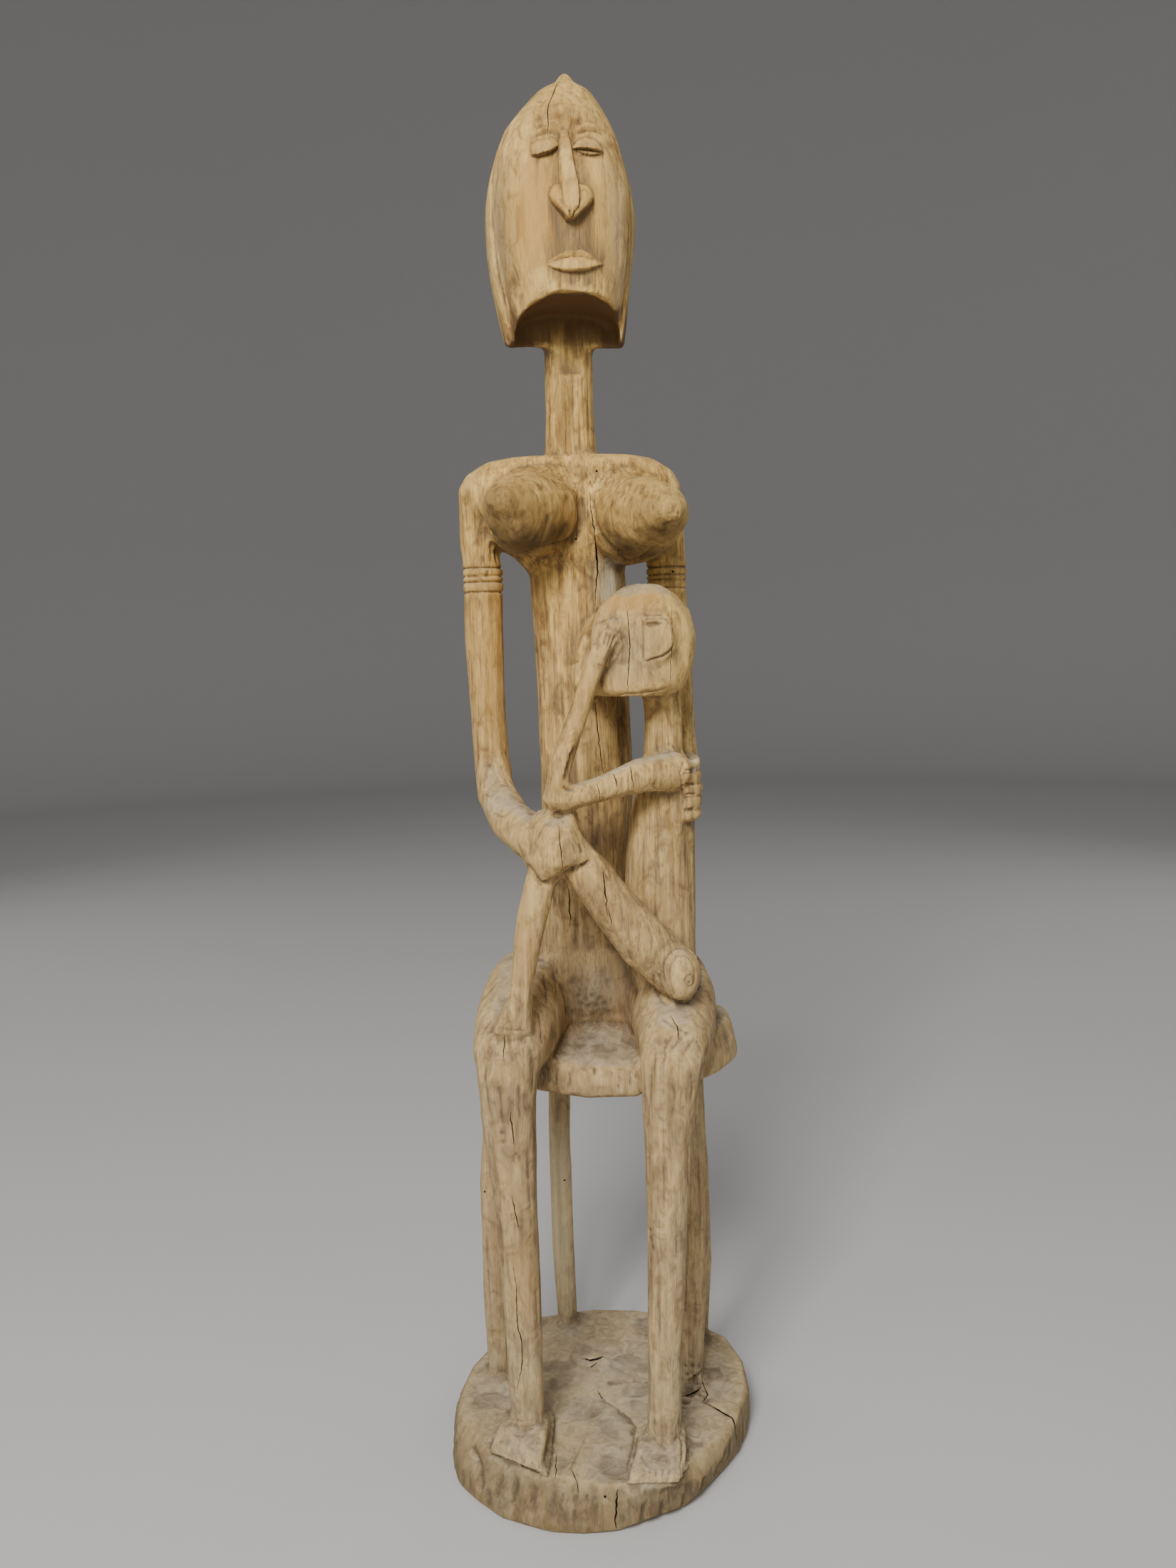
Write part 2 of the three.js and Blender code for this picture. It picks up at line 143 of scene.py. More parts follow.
def rough_out():
    """A copy of the solid, with its facets worked smooth."""
    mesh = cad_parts["maternity_figure"].data.copy()
    thing = bpy.data.objects.new("carved_figure", mesh)
    bpy.context.scene.collection.objects.link(thing)
    alone(thing)
    bpy.ops.object.mode_set(mode="EDIT")
    bpy.ops.mesh.select_all(action="SELECT")
    bpy.ops.mesh.remove_doubles(threshold=0.00001)
    bpy.ops.object.mode_set(mode="OBJECT")
    finish_with(thing, "REMESH", mode="VOXEL", voxel_size=ROUGH_VOXEL)
    spots = read(thing) / MM
    soft = np.ones(len(spots))
    for low, high, share in KEPT_CRISP:
        soft[within(spots, low, high)] = share
    group = thing.vertex_groups.new(name="soft")
    for share in sorted(set(soft)):
        group.add(np.nonzero(soft == share)[0].tolist(), share, "REPLACE")
    finish_with(thing, "SMOOTH", factor=0.5, iterations=14, vertex_group="soft")
    return thing


# Where the tool left harder edges: the left hand, the feet, the child's foot, the chin's arch
# and the edges of the coif
KEPT_CRISP = [
    ((88, -60, 640), (130, 30, 715), 0.3), ((-125, -160, 40), (-40, -50, 72), 0.35),
    ((10, -160, 40), (95, -70, 72), 0.35), ((-100, -115, 458), (-48, -70, 505), 0.5),
    ((-90, -90, 1090), (80, 20, 1145), 0.45),
]


# Carving strokes, which move the spots of the wood, the surface that is being carved

# A stroke takes in the spots up to this far above and below its line
STROKE_HEIGHT = 7
# A chop takes in the spots below this height and at least this far from the log's axis
BASE_TOP, BASE_EDGE = 46, 100


class Surface:
    """The wood's surface as arrays: where each spot is, and which way it faces."""

    def __init__(self, thing):
        self.thing = thing
        self.spots = read(thing) / MM
        self.faces = read(thing, "normal")

    def leave(self):
        put(self.thing, self.spots)


def along(line, reach):
    """Spots within reach of a line: their numbers, distance, share of its length and side."""
    near = np.nonzero(within(wood.spots, line.min(0) - reach, line.max(0) + reach))[0]
    spots, faces = wood.spots[near], wood.faces[near]
    best = np.full(len(near), 1e9)
    share, side = np.zeros(len(near)), np.zeros(len(near))
    runs = np.diff(line, axis=0)
    lengths = np.linalg.norm(runs, axis=1)
    start = 0
    for a, run, length in zip(line[:-1], runs, lengths):
        t = np.clip((spots - a) @ run / length ** 2, 0, 1)
        gap = spots - (a + t[:, None] * run)
        height = (gap * faces).sum(1)
        flat = gap - height[:, None] * faces
        distance = np.hypot(np.linalg.norm(flat, axis=1), np.maximum(np.abs(height) - STROKE_HEIGHT, 0))
        turn = np.sign((np.cross(faces, run) * gap).sum(1))
        closer = distance < best
        best[closer] = distance[closer]
        share[closer] = (start + t[closer] * length) / lengths.sum()
        side[closer] = turn[closer]
        start += length
    keep = best < reach
    return near[keep], best[keep], share[keep], side[keep]


def tapered(share, ends):
    return np.clip(np.minimum(share, 1 - share) / max(ends, 1e-6), 0, 1) ** 0.7 if ends else 1


def groove(wide, deep, *dots, ends=0.25):
    """A cut through dots, wide and deep in millimetres, that runs out at its ends."""
    near, distance, share, _ = along(traced(dots), wide)
    cut = deep * (1 - (distance / wide)) ** 1.3 * tapered(share, ends)
    wood.spots[near] -= wood.faces[near] * cut[:, None]


def swell(wide, high, *dots):
    """A soft rounded ridge through dots."""
    near, distance, share, _ = along(traced(dots), wide)
    rise = high * (np.cos(distance / wide * math.pi) + 1) / 2 * tapered(share, 0.3)
    wood.spots[near] += wood.faces[near] * rise[:, None]


def ledge(drop, fade, side, *dots, ends=0.15):
    """A step down on one side of a line through dots, which fades out away from it.

    Side -1 is on the right hand of one who follows the line, and side 1 on the left hand.
    """
    near, distance, share, turn = along(traced(dots), fade)
    on = turn * side > 0
    near, distance, share = near[on], distance[on], share[on]
    cut = drop * (1 - distance / fade) ** 1.6 * tapered(share, ends)
    wood.spots[near] -= wood.faces[near] * cut[:, None]


def dent(wide, deep, *dot):
    """A round dip, or a bump where deep is below 0."""
    spot = traced([dot])[0]
    near = np.nonzero(within(wood.spots, spot - wide, spot + wide))[0]
    distance = np.linalg.norm(wood.spots[near] - spot, axis=1)
    near, distance = near[distance < wide], distance[distance < wide]
    cut = deep * (np.cos(distance / wide * math.pi) + 1) / 2
    wood.spots[near] -= wood.faces[near] * cut[:, None]


def ring(low, high, height, wide, deep):
    """A cut round an upright limb at one height, inside a box."""
    near = np.nonzero(within(wood.spots, low, high))[0]
    spots = wood.spots[near]
    upright = np.linalg.norm(wood.faces[near][:, :2], axis=1) > 0.5
    distance = np.abs(spots[:, 2] - height)
    keep = upright & (distance < wide)
    near, distance = near[keep], distance[keep]
    cut = deep * (1 - distance / wide) ** 1.2
    wood.spots[near] -= wood.faces[near] * cut[:, None]


def raised(high, edge, *dots, deep=12):
    """Lifts what lies inside an outline by some millimetres, towards the eye."""
    outline = traced(dots)
    middle = outline.mean(0)
    out = np.array(EYE) - middle
    out /= np.linalg.norm(out)
    right = np.cross(out, (0, 0, 1))
    right /= -np.linalg.norm(right)
    up = np.cross(out, right)
    near = np.nonzero(within(wood.spots, outline.min(0) - deep, outline.max(0) + deep))[0]
    gap = wood.spots[near] - middle
    flat = np.stack([gap @ right, gap @ up], 1)
    shape = np.stack([(outline - middle) @ right, (outline - middle) @ up], 1)
    inside = np.zeros(len(near), bool)
    border = np.full(len(near), 1e9)
    for a, b in zip(shape, np.roll(shape, -1, 0)):
        crosses = (a[1] > flat[:, 1]) != (b[1] > flat[:, 1])
        where = a[0] + (flat[:, 1] - a[1]) * (b[0] - a[0]) / (b[1] - a[1] + 1e-9)
        inside ^= crosses & (flat[:, 0] < where)
        t = np.clip((flat - a) @ (b - a) / max(((b - a) ** 2).sum(), 1e-9), 0, 1)
        border = np.minimum(border, np.linalg.norm(flat - a - t[:, None] * (b - a), axis=1))
    inside &= (np.abs(gap @ out) < deep) & (wood.faces[near] @ out > 0.2)
    near, border = near[inside], border[inside]
    wood.spots[near] += out * (high * np.clip(border / edge, 0, 1) ** 0.8)[:, None]


# The mother's face, in the head's own measure: x across, z above the base's top, turned by 8 degrees.
# Each form's stations give its run, near edge, far edge and height, and each profile, whose name
# ends in across, gives places from one edge (-1) to the other (1) with shares of that height.

SHIFT = np.array([-2.2992, 1.2851, 45.0])
HEAD_TURN = math.radians(8)
HEAD_AXIS = np.array([-7.0, 8.0, 0.0])


def turned(spots, angle):
    c, s = math.cos(angle), math.sin(angle)
    x, y, z = (spots - HEAD_AXIS).T
    return np.stack([c * x - s * y, s * x + c * y, z], 1) + HEAD_AXIS


def boss(x, z, upright, stations, profile):
    """How far a raised form stands out of the plain face at each place."""
    along_it, across = (z, x) if upright else (x, z)
    run, near, far, high = np.array(stations).T
    low, top, rise = (np.interp(along_it, run, side) for side in (near, far, high))
    share = (2 * across - low - top) / np.maximum(top - low, 0.01)
    inside = (along_it > run[0]) & (along_it < run[-1]) & (np.abs(share) < 1)
    return np.where(inside, rise * np.interp(share, *zip(*profile)), 0)


RIDGE = [
    (1155, -11, -3, 12.5), (1159, -14.5, 0.3, 14.5), (1166, -16, 1.8, 13.5), (1177, -16, 1.5, 11.5),
    (1199, -15.9, -2, 8.2), (1219, -15.2, -3.6, 5), (1232, -13, -6, 1.5),
]
RIDGE_ACROSS = [(-1, 0.2), (-0.78, 0.9), (0, 1), (0.76, 1), (1, 0.3)]
NOSTRILS = [
    (1149.5, -10.5, -4, 11.5), (1152, -12.8, -1.4, 13.5), (1156, -15.8, 2.6, 14), (1161, -20, 8.4, 13),
    (1166, -23.8, 12.4, 11.5), (1171, -25.4, 14.2, 9.5), (1176, -24, 12.8, 7), (1181, -20.5, 9, 3.5),
]
NOSTRILS_ACROSS = [
    (-1, 0.45), (-0.86, 0.72), (-0.5, 0.86), (-0.28, 0.7), (-0.1, 1), (0.1, 1), (0.28, 0.7), (0.5, 0.86),
    (0.86, 0.72), (1, 0.45),
]
UPPER_LIP = [
    (-27.4, 1115.5, 1116.9, 0.8), (-17.6, 1117.2, 1122.2, 3.2), (-8.4, 1118.6, 1125.4, 4.4),
    (-3, 1118.6, 1124.6, 4.0), (2, 1118.4, 1125.6, 4.4), (9.3, 1117.9, 1122.6, 3.4),
    (16.5, 1117.6, 1119.2, 1),
]
UPPER_LIP_ACROSS = [(-1, 0.05), (-0.4, 0.5), (0.4, 0.85), (0.8, 1), (1, 0.5)]
LOWER_LIP = [
    (-29, 1114.2, 1115.2, 0.6), (-23.8, 1110.2, 1116.2, 2.6), (-15.6, 1107.8, 1117.8, 4.6),
    (-6.5, 1107, 1119.3, 5.8), (3.2, 1108, 1119.3, 5.6), (13.3, 1111.2, 1118.6, 4),
    (22.8, 1115.8, 1117.8, 0.8),
]
LOWER_LIP_ACROSS = [(-1, 0.8), (-0.72, 1), (0, 0.78), (0.7, 0.45), (1, 0.25)]
LEFT_LID = [
    (-38.7, 1208, 1217.5, 3.5), (-34.3, 1206.7, 1221.5, 6.5), (-28.8, 1207.6, 1224.5, 7.6),
    (-22.1, 1210.2, 1225, 7.2), (-15.3, 1214.6, 1221.5, 3.2),
]
RIGHT_LID = [
    (-2.2, 1213.4, 1216, 2.5), (2.3, 1212.9, 1222.5, 5.6), (10.6, 1213.1, 1225.5, 7),
    (19, 1213.1, 1224.5, 6.6), (26.1, 1213.9, 1217, 2),
]
LID_ACROSS = [(-1, 0.9), (-0.7, 1), (0.2, 0.8), (0.85, 0.35), (1, 0.05)]
RIGHT_EYE = [
    (-0.4, 1212.4, 1213.4, 0.8), (3.9, 1210.5, 1213, 1.8), (8.9, 1208.4, 1213.1, 2.5),
    (17.4, 1208.9, 1213.1, 2.5), (25.4, 1212.9, 1213.9, 0.8),
]
EYE_ACROSS = [(-1, 0.85), (0, 1), (1, 0.5)]


def make_face():
    """Planes the front of the head and leaves nose, lids and lips standing on it."""
    near = np.nonzero(within(wood.spots, (-70, -110, 1120), (60, -20, 1300)))[0]
    spots = turned(wood.spots[near] - SHIFT, -HEAD_TURN)
    x, y, z = spots.T
    heights = [1062, 1090, 1116, 1142, 1180, 1206, 1231, 1250]
    wide = np.interp(z, heights, [47, 54, 60, 64, 66, 63.5, 57, 49]) - 0.6
    deep = np.interp(z, heights, [54, 60, 62, 63, 62, 59, 53, 46]) - 0.6
    middle = np.interp(z, heights, [0, -2, -2, -2, -2, -1, 0, 2])
    square = 2.3
    plain = middle - deep * np.clip(1 - (np.abs(x + 7) / wide) ** square, 0, 1) ** (1 / square)
    rise = np.zeros(len(x))
    for upright, stations, across in (
        (True, RIDGE, RIDGE_ACROSS), (True, NOSTRILS, NOSTRILS_ACROSS),
        (False, UPPER_LIP, UPPER_LIP_ACROSS), (False, LOWER_LIP, LOWER_LIP_ACROSS),
        (False, LEFT_LID, LID_ACROSS), (False, RIGHT_LID, LID_ACROSS),
        (False, RIGHT_EYE, EYE_ACROSS),
    ):
        rise = np.maximum(rise, boss(x, z, upright, stations, across))
    side = np.clip((46 - np.abs(x + 7)) / 7, 0, 1)
    ends = np.minimum(np.clip((z - 1093) / 6, 0, 1), np.clip((1248 - z) / 22, 0, 1))
    worked = side * ends * (y < -25)
    y += worked * (plain - rise - y)
    wood.spots[near] = turned(np.stack([x, y, z], 1), HEAD_TURN) + SHIFT


def cut_chin_arch(thing):
    """The arch under the chin, cut again with a clean edge."""
    bpy.ops.object.select_all(action="DESELECT")
    bpy.ops.mesh.primitive_cylinder_add(vertices=72, radius=1, depth=1, end_fill_type="NGON")
    cutter = bpy.context.object
    corners = read(cutter)
    angle = np.arctan2(corners[:, 1], corners[:, 0])
    across, up = np.cos(angle), np.sin(angle)
    bend = 2 / 2.6
    x = -5 + 49.5 * np.sign(across) * np.abs(across) ** bend
    z = 1062 + 28.5 * np.sign(up) * np.abs(up) ** bend
    y = -60 + 140 * corners[:, 2]
    put(cutter, turned(np.stack([x, y, z], 1), HEAD_TURN) + SHIFT)
    face_outwards(cutter)
    combine(thing, cutter, "DIFFERENCE")


def close_fingers(thing):
    """The fingers of the left hand stand side by side, with wood between them."""
    outline = [(88, -44), (93, -50), (100, -44), (106, -33), (108, -15), (107, 15), (98, 20), (88, 20)]
    middle, tall = 680, 52
    bpy.ops.object.select_all(action="DESELECT")
    bpy.ops.mesh.primitive_cylinder_add(vertices=8, radius=1, depth=1, end_fill_type="NGON")
    filling = bpy.context.object
    corners = read(filling)
    turn = np.rint(np.arctan2(corners[:, 1], corners[:, 0]) / (math.pi / 4)).astype(int) % 8
    put(filling, np.column_stack([np.array(outline)[turn], middle + tall * corners[:, 2]]))
    face_outwards(filling)
    combine(thing, filling, "UNION")


def add_hip(thing):
    """The child's hip stands out as a round dome."""
    middle, radii = (83.5, -79, 513), (20, 22, 26.5)
    bpy.ops.object.select_all(action="DESELECT")
    bpy.ops.mesh.primitive_uv_sphere_add(segments=48, ring_count=24, radius=1)
    dome = bpy.context.object
    put(dome, np.array(middle) + read(dome) * radii)
    combine(thing, dome, "UNION")


def hollow_lap():
    """Her body leans back under the belly, and the dished seat slopes in between her thighs."""
    near = within(wood.spots, (-48, -60, 418), (58, 70, 520)) & (wood.faces[:, 1] < -0.35)
    near = np.nonzero(near)[0]
    spots = wood.spots[near]
    across = np.clip(1 - ((spots[:, 0] - 6) / 46) ** 2, 0, 1)
    wood.spots[near, 1] += 30 * across ** 0.6 * np.clip((512 - spots[:, 2]) / 90, 0, 1) ** 1.7
    near = np.nonzero(within(wood.spots, (-52, -66, 380), (54, 44, 436)))[0]
    spots = wood.spots[near]
    slope = np.clip((spots[:, 1] + 18) / 34, -1, 1.3) * np.clip((spots[:, 2] - 380) / 30, 0, 1)
    wood.spots[near, 2] += 4.5 * slope * np.clip((46 - np.abs(spots[:, 0] - 1)) / 10, 0, 1)


def lower_breast():
    """Her right breast hangs a little lower and runs into the armpit."""
    middle = np.array([-58, -42, 918])
    near = np.nonzero(within(wood.spots, middle - 44, middle + 44))[0]
    gap = (wood.spots[near] - middle) / (42, 44, 30)
    share = np.clip(1 - (gap ** 2).sum(1), 0, 1)
    wood.spots[near] += share[:, None] * (-1, -3, -8.5)


def carve_forms():
    """The forms that stand a few millimetres proud or are cut in as deep."""
    make_face()
    hollow_lap()
    lower_breast()
    groove(4, 2, *rounded(957, 1368, 27, 39, -40, 130), ends=0.2)
    soften(9, 40, *rounded(957, 1368, 27, 39, 140, 300))
    # the child's ear, a D with its straight side towards the face
    raised(
        2.4, 1.2, (903, 864), (925, 863), (935, 867), (943, 880), (945, 900), (939, 913), (924, 923),
        (903, 930),
    )
    # the mother's right hand ends in a clean edge over the child's knee
    ledge(
        3.2, 14, -1, (738, 1208), (748, 1221), (762, 1238), (778, 1231), (792, 1226), (812, 1216),
        (831, 1204),
    )
    # where the child's elbow rests on that hand
    soften(13, 70, (758, 1141), (766, 1146))
    groove(5, 2.5, (772, 1143), (785, 1144), (808, 1143))
    # the child's forearm narrows to its elbow
    ledge(7, 9, 1, (806, 1045), (800, 1062), (794, 1082), (790, 1098), ends=0.25)
    # the back of the mother's left hand
    dent(20, -2.6, 107, -36, 680)
    # her body runs softly into the seat
    soften(
        30, 260, (-40, 16, 426), (-20, 24, 426), (6, 27, 426), (34, 24, 426), (52, 16, 426), outward=True,
    )
    # her back runs up into the shoulders
    soften(28, 220, (-42, 72, 947), (-20, 74, 946), (0, 75, 946), (20, 74, 946), (42, 69, 947))
    # the soles of the legs stand a little in from the feet
    ledge(2.2, 9, -1, (706, 1990), (725, 1998), (745, 1999), (762, 1993), (772, 1976))
    ledge(2.2, 9, -1, (897, 2008), (912, 2015), (930, 2020), (945, 2018), (955, 2006))


def shave(low, high, number, deep, tall, wide, seed, steep=1.0):
    """Knife facets inside a box, which flatten round forms along the grain and dish flat ones.

    Facets that would face up or down more than steep are left out, but keep their random draws.
    """
    rng = np.random.default_rng(seed)
    order = np.argsort(wood.spots[:, 2])
    heights = wood.spots[order, 2]
    inside = np.nonzero(within(wood.spots, low, high))[0]
    for pick in rng.choice(inside, number):
        spot, face = wood.spots[pick].copy(), wood.faces[pick]
        if abs(face[2]) > steep:
            continue
        grain = np.array([0, 0, 1.0]) - face[2] * face
        if np.linalg.norm(grain) < 0.5:
            turn = rng.random() * math.pi
            grain = np.cross(face, (math.cos(turn), math.sin(turn), 0))
        grain /= np.linalg.norm(grain)
        across = np.cross(face, grain)
        cut = deep * (0.5 + rng.random())
        long = tall * (0.6 + 0.8 * rng.random())
        broad = wide * (0.7 + 0.6 * rng.random())
        first, last = np.searchsorted(heights, (spot[2] - long - 2, spot[2] + long + 2))
        near = order[first:last]
        gap = wood.spots[near] - spot
        rise = gap @ face
        spread = ((gap @ grain) / long) ** 2 + ((gap @ across) / broad) ** 2
        keep = (spread < 1) & (np.abs(rise) < 9) & (wood.faces[near] @ face > 0.35)
        near = near[keep]
        taken = np.clip(rise[keep] + cut, 0, cut) * np.sqrt(1 - spread[keep])
        wood.spots[near] -= taken[:, None] * face


def chop(angle, tilt, cut):
    """One flat adze cut on the edge of the base."""
    face = np.array([math.cos(angle) * math.cos(tilt), math.sin(angle) * math.cos(tilt), math.sin(tilt)])
    on_edge = (wood.spots[:, 2] < BASE_TOP) & (np.hypot(*wood.spots[:, :2].T) > BASE_EDGE)
    near = np.nonzero(on_edge)[0]
    reach = wood.spots[near] @ face
    over = reach - (reach.max() - cut)
    keep = over > 0
    wood.spots[near[keep]] -= over[keep][:, None] * face


def soften(reach, times, *dots, outward=False):
    """Works the wood round a line smooth, or only fills what is hollow there."""
    near, distance, _, _ = along(traced(dots), reach)
    pairs = edge_pairs(carving)
    spot_number = np.full(len(wood.spots), -1)
    spot_number[near] = np.arange(len(near))
    pairs = spot_number[pairs]
    pairs = pairs[(pairs >= 0).all(1)]
    spots = wood.spots[near]
    change = averaged(spots, pairs, times) - spots
    if outward:
        change *= ((change * wood.faces[near]).sum(1) > 0)[:, None]
    wood.spots[near] += change * (1 - (distance / reach) ** 2)[:, None]


def edge_pairs(thing):
    pairs = np.empty(len(thing.data.edges) * 2, np.int32)
    thing.data.edges.foreach_get("vertices", pairs)
    return pairs.reshape(-1, 2)


def averaged(values, pairs, times):
    count = np.bincount(pairs.ravel(), minlength=len(values))[:, None] + 1
    for _ in range(times):
        total = values.copy()
        for column in range(values.shape[1]):
            side = values[:, column]
            total[:, column] += np.bincount(pairs[:, 0], side[pairs[:, 1]], len(side))
            total[:, column] += np.bincount(pairs[:, 1], side[pairs[:, 0]], len(side))
        values = total / count
    return values


def carve_chest():
    soften(30, 140, (680, 662), (720, 656), (770, 656), (805, 666), outward=True)
    soften(30, 140, (845, 668), (880, 658), (915, 656), (938, 664), outward=True)
    shave((-130, -170, 908), (130, -30, 992), 300, 0.6, 7, 4, 31)
    for step in range(14):
        u, v = 775 + step * 3.3, 672 + step * 0.6 + 3 * math.sin(step * 0.5)
        groove(1.5, 0.7, (u, v), (u + 0.6, v + 6), (u + 0.6, v + 14))
    # old cuts in the right upper arm
    for u, v, tall in (
        (672, 742, 30), (680, 738, 26), (689, 760, 30), (697, 770, 22), (676, 778, 18), (704, 788, 14),
        (684, 800, 10),
    ):
        groove(2.6, 1.5, (u, v), (u + 1, v + tall / 2), (u - 1, v + tall))
    # rows of short cuts over the breasts
    for number in range(15):
        share = number / 14
        u, v = 838 + 112 * share, 668 + 38 * share ** 1.7
        groove(2.4, 0.9, (u, v), (u - 3, v + 7), (u - 5, v + 13))
    for number in range(9):
        share = number / 8
        u, v = 880 + 64 * share, 690 + 22 * share
        groove(2.4, 0.8, (u, v), (u - 3, v + 6), (u - 6, v + 11))
    # the breasts are undercut
    ledge(
        6, 14, -1, (690, 758), (706, 771), (722, 779), (740, 779), (762, 772), (785, 764), (803, 753),
        (812, 740), ends=0.1,
    )
    ledge(
        5, 13, -1, (838, 748), (852, 766), (868, 778), (880, 786), (893, 784), (908, 774), (925, 764),
        ends=0.1,
    )
    groove(
        7, 4.6, (724, 776), (740, 777), (762, 771), (785, 764), (800, 757), (812, 742), (815, 718),
        (816, 695), ends=0.15,
    )
    groove(7, 4.2, (829, 695), (831, 718), (838, 745), (852, 764), (870, 776), (880, 784), ends=0.15)
    groove(7, 2.2, (668, 700), (676, 730), (694, 752), (716, 770), ends=0.3)
    # creases and rough patches at their tips
    groove(3, 1.4, (692, 696), (703, 694), (716, 697))
    groove(3, 1.6, (928, 738), (943, 733), (958, 726))
    for u, v in ((926, 716), (934, 712), (942, 716), (950, 712), (936, 722), (947, 723)):
        dent(3.2, -1.2, u, v)
    for u, v in ((930, 712), (939, 719), (946, 711), (952, 720)):
        dent(2.6, 1.3, u, v)


def carve_heads():
    # brows, the folds from the nose and the edges of the coif
    groove(3.4, 1.9, (747, 197), (752, 190), (764, 186), (775, 185), (783, 190), (786, 200))
    groove(3.4, 1.9, (806, 194), (810, 186), (822, 182), (838, 183), (847, 190))
    swell(4.5, 1.5, (748, 191), (756, 183), (770, 179), (782, 181), (787, 188))
    swell(4.5, 1.5, (806, 188), (812, 179), (826, 175), (843, 179))
    groove(3, 0.9, (790, 172), (788, 183), (787, 195))
    groove(2.6, 1.1, (803, 172), (804, 183), (805, 196), (809, 215), (812, 240))
    groove(
        3.4, 3.2, (692, 232), (689, 262), (688, 290), (690, 330), (694, 365), (700, 398), (707, 430),
        (714, 460), ends=0.12,
    )
    groove(2.2, 1.3, (884, 300), (882, 340), (879, 380), (875, 420), (871, 455), ends=0.2)
    groove(2, 0.9, (746, 146), (753, 141), (761, 143))
    for u in (786, 813, 836, 845):
        groove(1.4, 0.7, (u, 388), (u, 398), (u, 407))
    # the broken tips of the coif
    for u, v in ((712, 478), (722, 470), (716, 462)):
        dent(5, 1.6, u, v)


def carve_child():
    # the hand on its cheek
    raised(
        1.6, 1.2, (846, 881), (871, 889), (874, 905), (867, 921), (853, 938), (838, 930), (838, 900),
        deep=20,
    )
    for a, b, c in (
        ((851, 885), (849, 895), (847, 906)), ((857, 887), (855, 897), (852, 908)),
        ((864, 889), (860, 900), (856, 911)),
    ):
        groove(2.6, 2.4, a, b, c)
    groove(3, 1.6, (834, 877), (846, 871), (853, 879), (868, 884))
    # its brow, nose and mouth in profile
    groove(5, 2.2, (820, 897), (824, 890), (829, 886))
    groove(4, 1.8, (800, 934), (806, 929), (812, 927))
    dent(6, -1.6, 812, 915)
    # the ear
    groove(2.2, 1.8, (901, 861), (915, 861), (930, 862), ends=0.1)
    groove(2.2, 1.8, (901, 868), (915, 868), (938, 870), ends=0.1)
    groove(1.8, 1.2, (901, 870), (901, 885), (901, 905), (901, 928), ends=0.1)
    groove(
        2.4, 1.9, (903, 929), (917, 925), (930, 921), (941, 913), (947, 902), (947, 886), (943, 872),
        ends=0.12,
    )
    groove(3.6, 3.0, (903, 876), (916, 875), (931, 874), ends=0.3)
    for u in (905, 909, 913, 917, 921, 925):
        groove(1.1, 0.5, (u, 852), (u, 856))
    # the crook of its elbow
    groove(3.2, 2.4, (790, 1103), (797, 1107), (806, 1106))
    # its head's lower edge
    ledge(1.2, 5, 1, (848, 978), (876, 975), (905, 974), (938, 967))


def carve_lap():
    # the child's hip, with a ring cut inside its edge and a knot
    groove(2.2, 1.0, *rounded(957, 1368, 26.5, 38.5, count=41), ends=0)
    groove(2.2, 0.9, *rounded(957, 1369, 19, 29, 150, 400), ends=0.1)
    groove(2.6, 0.9, *rounded(950, 1368, 34, 47, 90, 250), ends=0.2)
    groove(1.8, 1.0, *rounded(968, 1376, 6.5, 8), ends=0)
    dent(3, 1.2, 966, 1379)
    # cuts below it on the mother's thigh
    for line in (
        ((928, 1428), (944, 1440), (960, 1447), (976, 1452)), ((940, 1474), (956, 1456), (966, 1448)),
        ((950, 1490), (966, 1468), (976, 1458), (984, 1476)), ((936, 1456), (932, 1480), (930, 1505)),
        ((914, 1500), (912, 1530), (912, 1556)), ((920, 1470), (918, 1490), (918, 1512)),
        ((968, 1500), (972, 1524), (970, 1548)), ((900, 1520), (900, 1550), (902, 1580)),
        ((944, 1512), (946, 1540), (944, 1572)), ((700, 1522), (702, 1552), (706, 1580)),
        ((728, 1520), (730, 1545), (730, 1570)), ((745, 1470), (750, 1500), (748, 1530)),
        ((680, 1500), (682, 1530), (686, 1560)), ((762, 1360), (766, 1385), (768, 1410)),
        ((776, 1350), (780, 1375), (781, 1400)), ((756, 1420), (760, 1445), (760, 1466)),
    ):
        groove(3.4, 1.5, *line)
    # the child's foot runs out on the knee
    soften(11, 30, (697, 1437), (712, 1442), (730, 1444), (741, 1446))
    groove(2.6, 1.2, (697, 1440), (712, 1445), (728, 1446), (741, 1448))
    # pits in the hollow of the lap
    for u, v in (
        (812, 1398), (822, 1402), (832, 1398), (841, 1402), (815, 1410), (826, 1413), (838, 1412),
        (848, 1408), (806, 1420), (852, 1420), (834, 1424),
    ):
        dent(5.5, 1.1, u, v)
    for line in (
        ((796, 1442), (804, 1436), (808, 1446)), ((800, 1432), (812, 1438), (822, 1434)),
        ((850, 1434), (866, 1438), (880, 1434)),
    ):
        groove(2.6, 1.4, *line)
    # splits in the front edge of the seat
    for u, top, tall in (
        (762, 1500, 26), (770, 1496, 38), (779, 1506, 18), (798, 1504, 24), (834, 1500, 10),
        (868, 1508, 20), (884, 1500, 26), (892, 1496, 20),
    ):
        groove(2.4, 1.5, (u, top), (u + 1, top + tall / 2), (u - 1, top + tall))
    dent(4, 1.8, 835, 1500)
    groove(2.4, 1.0, (1000, 1420), (1010, 1417), (1020, 1420))


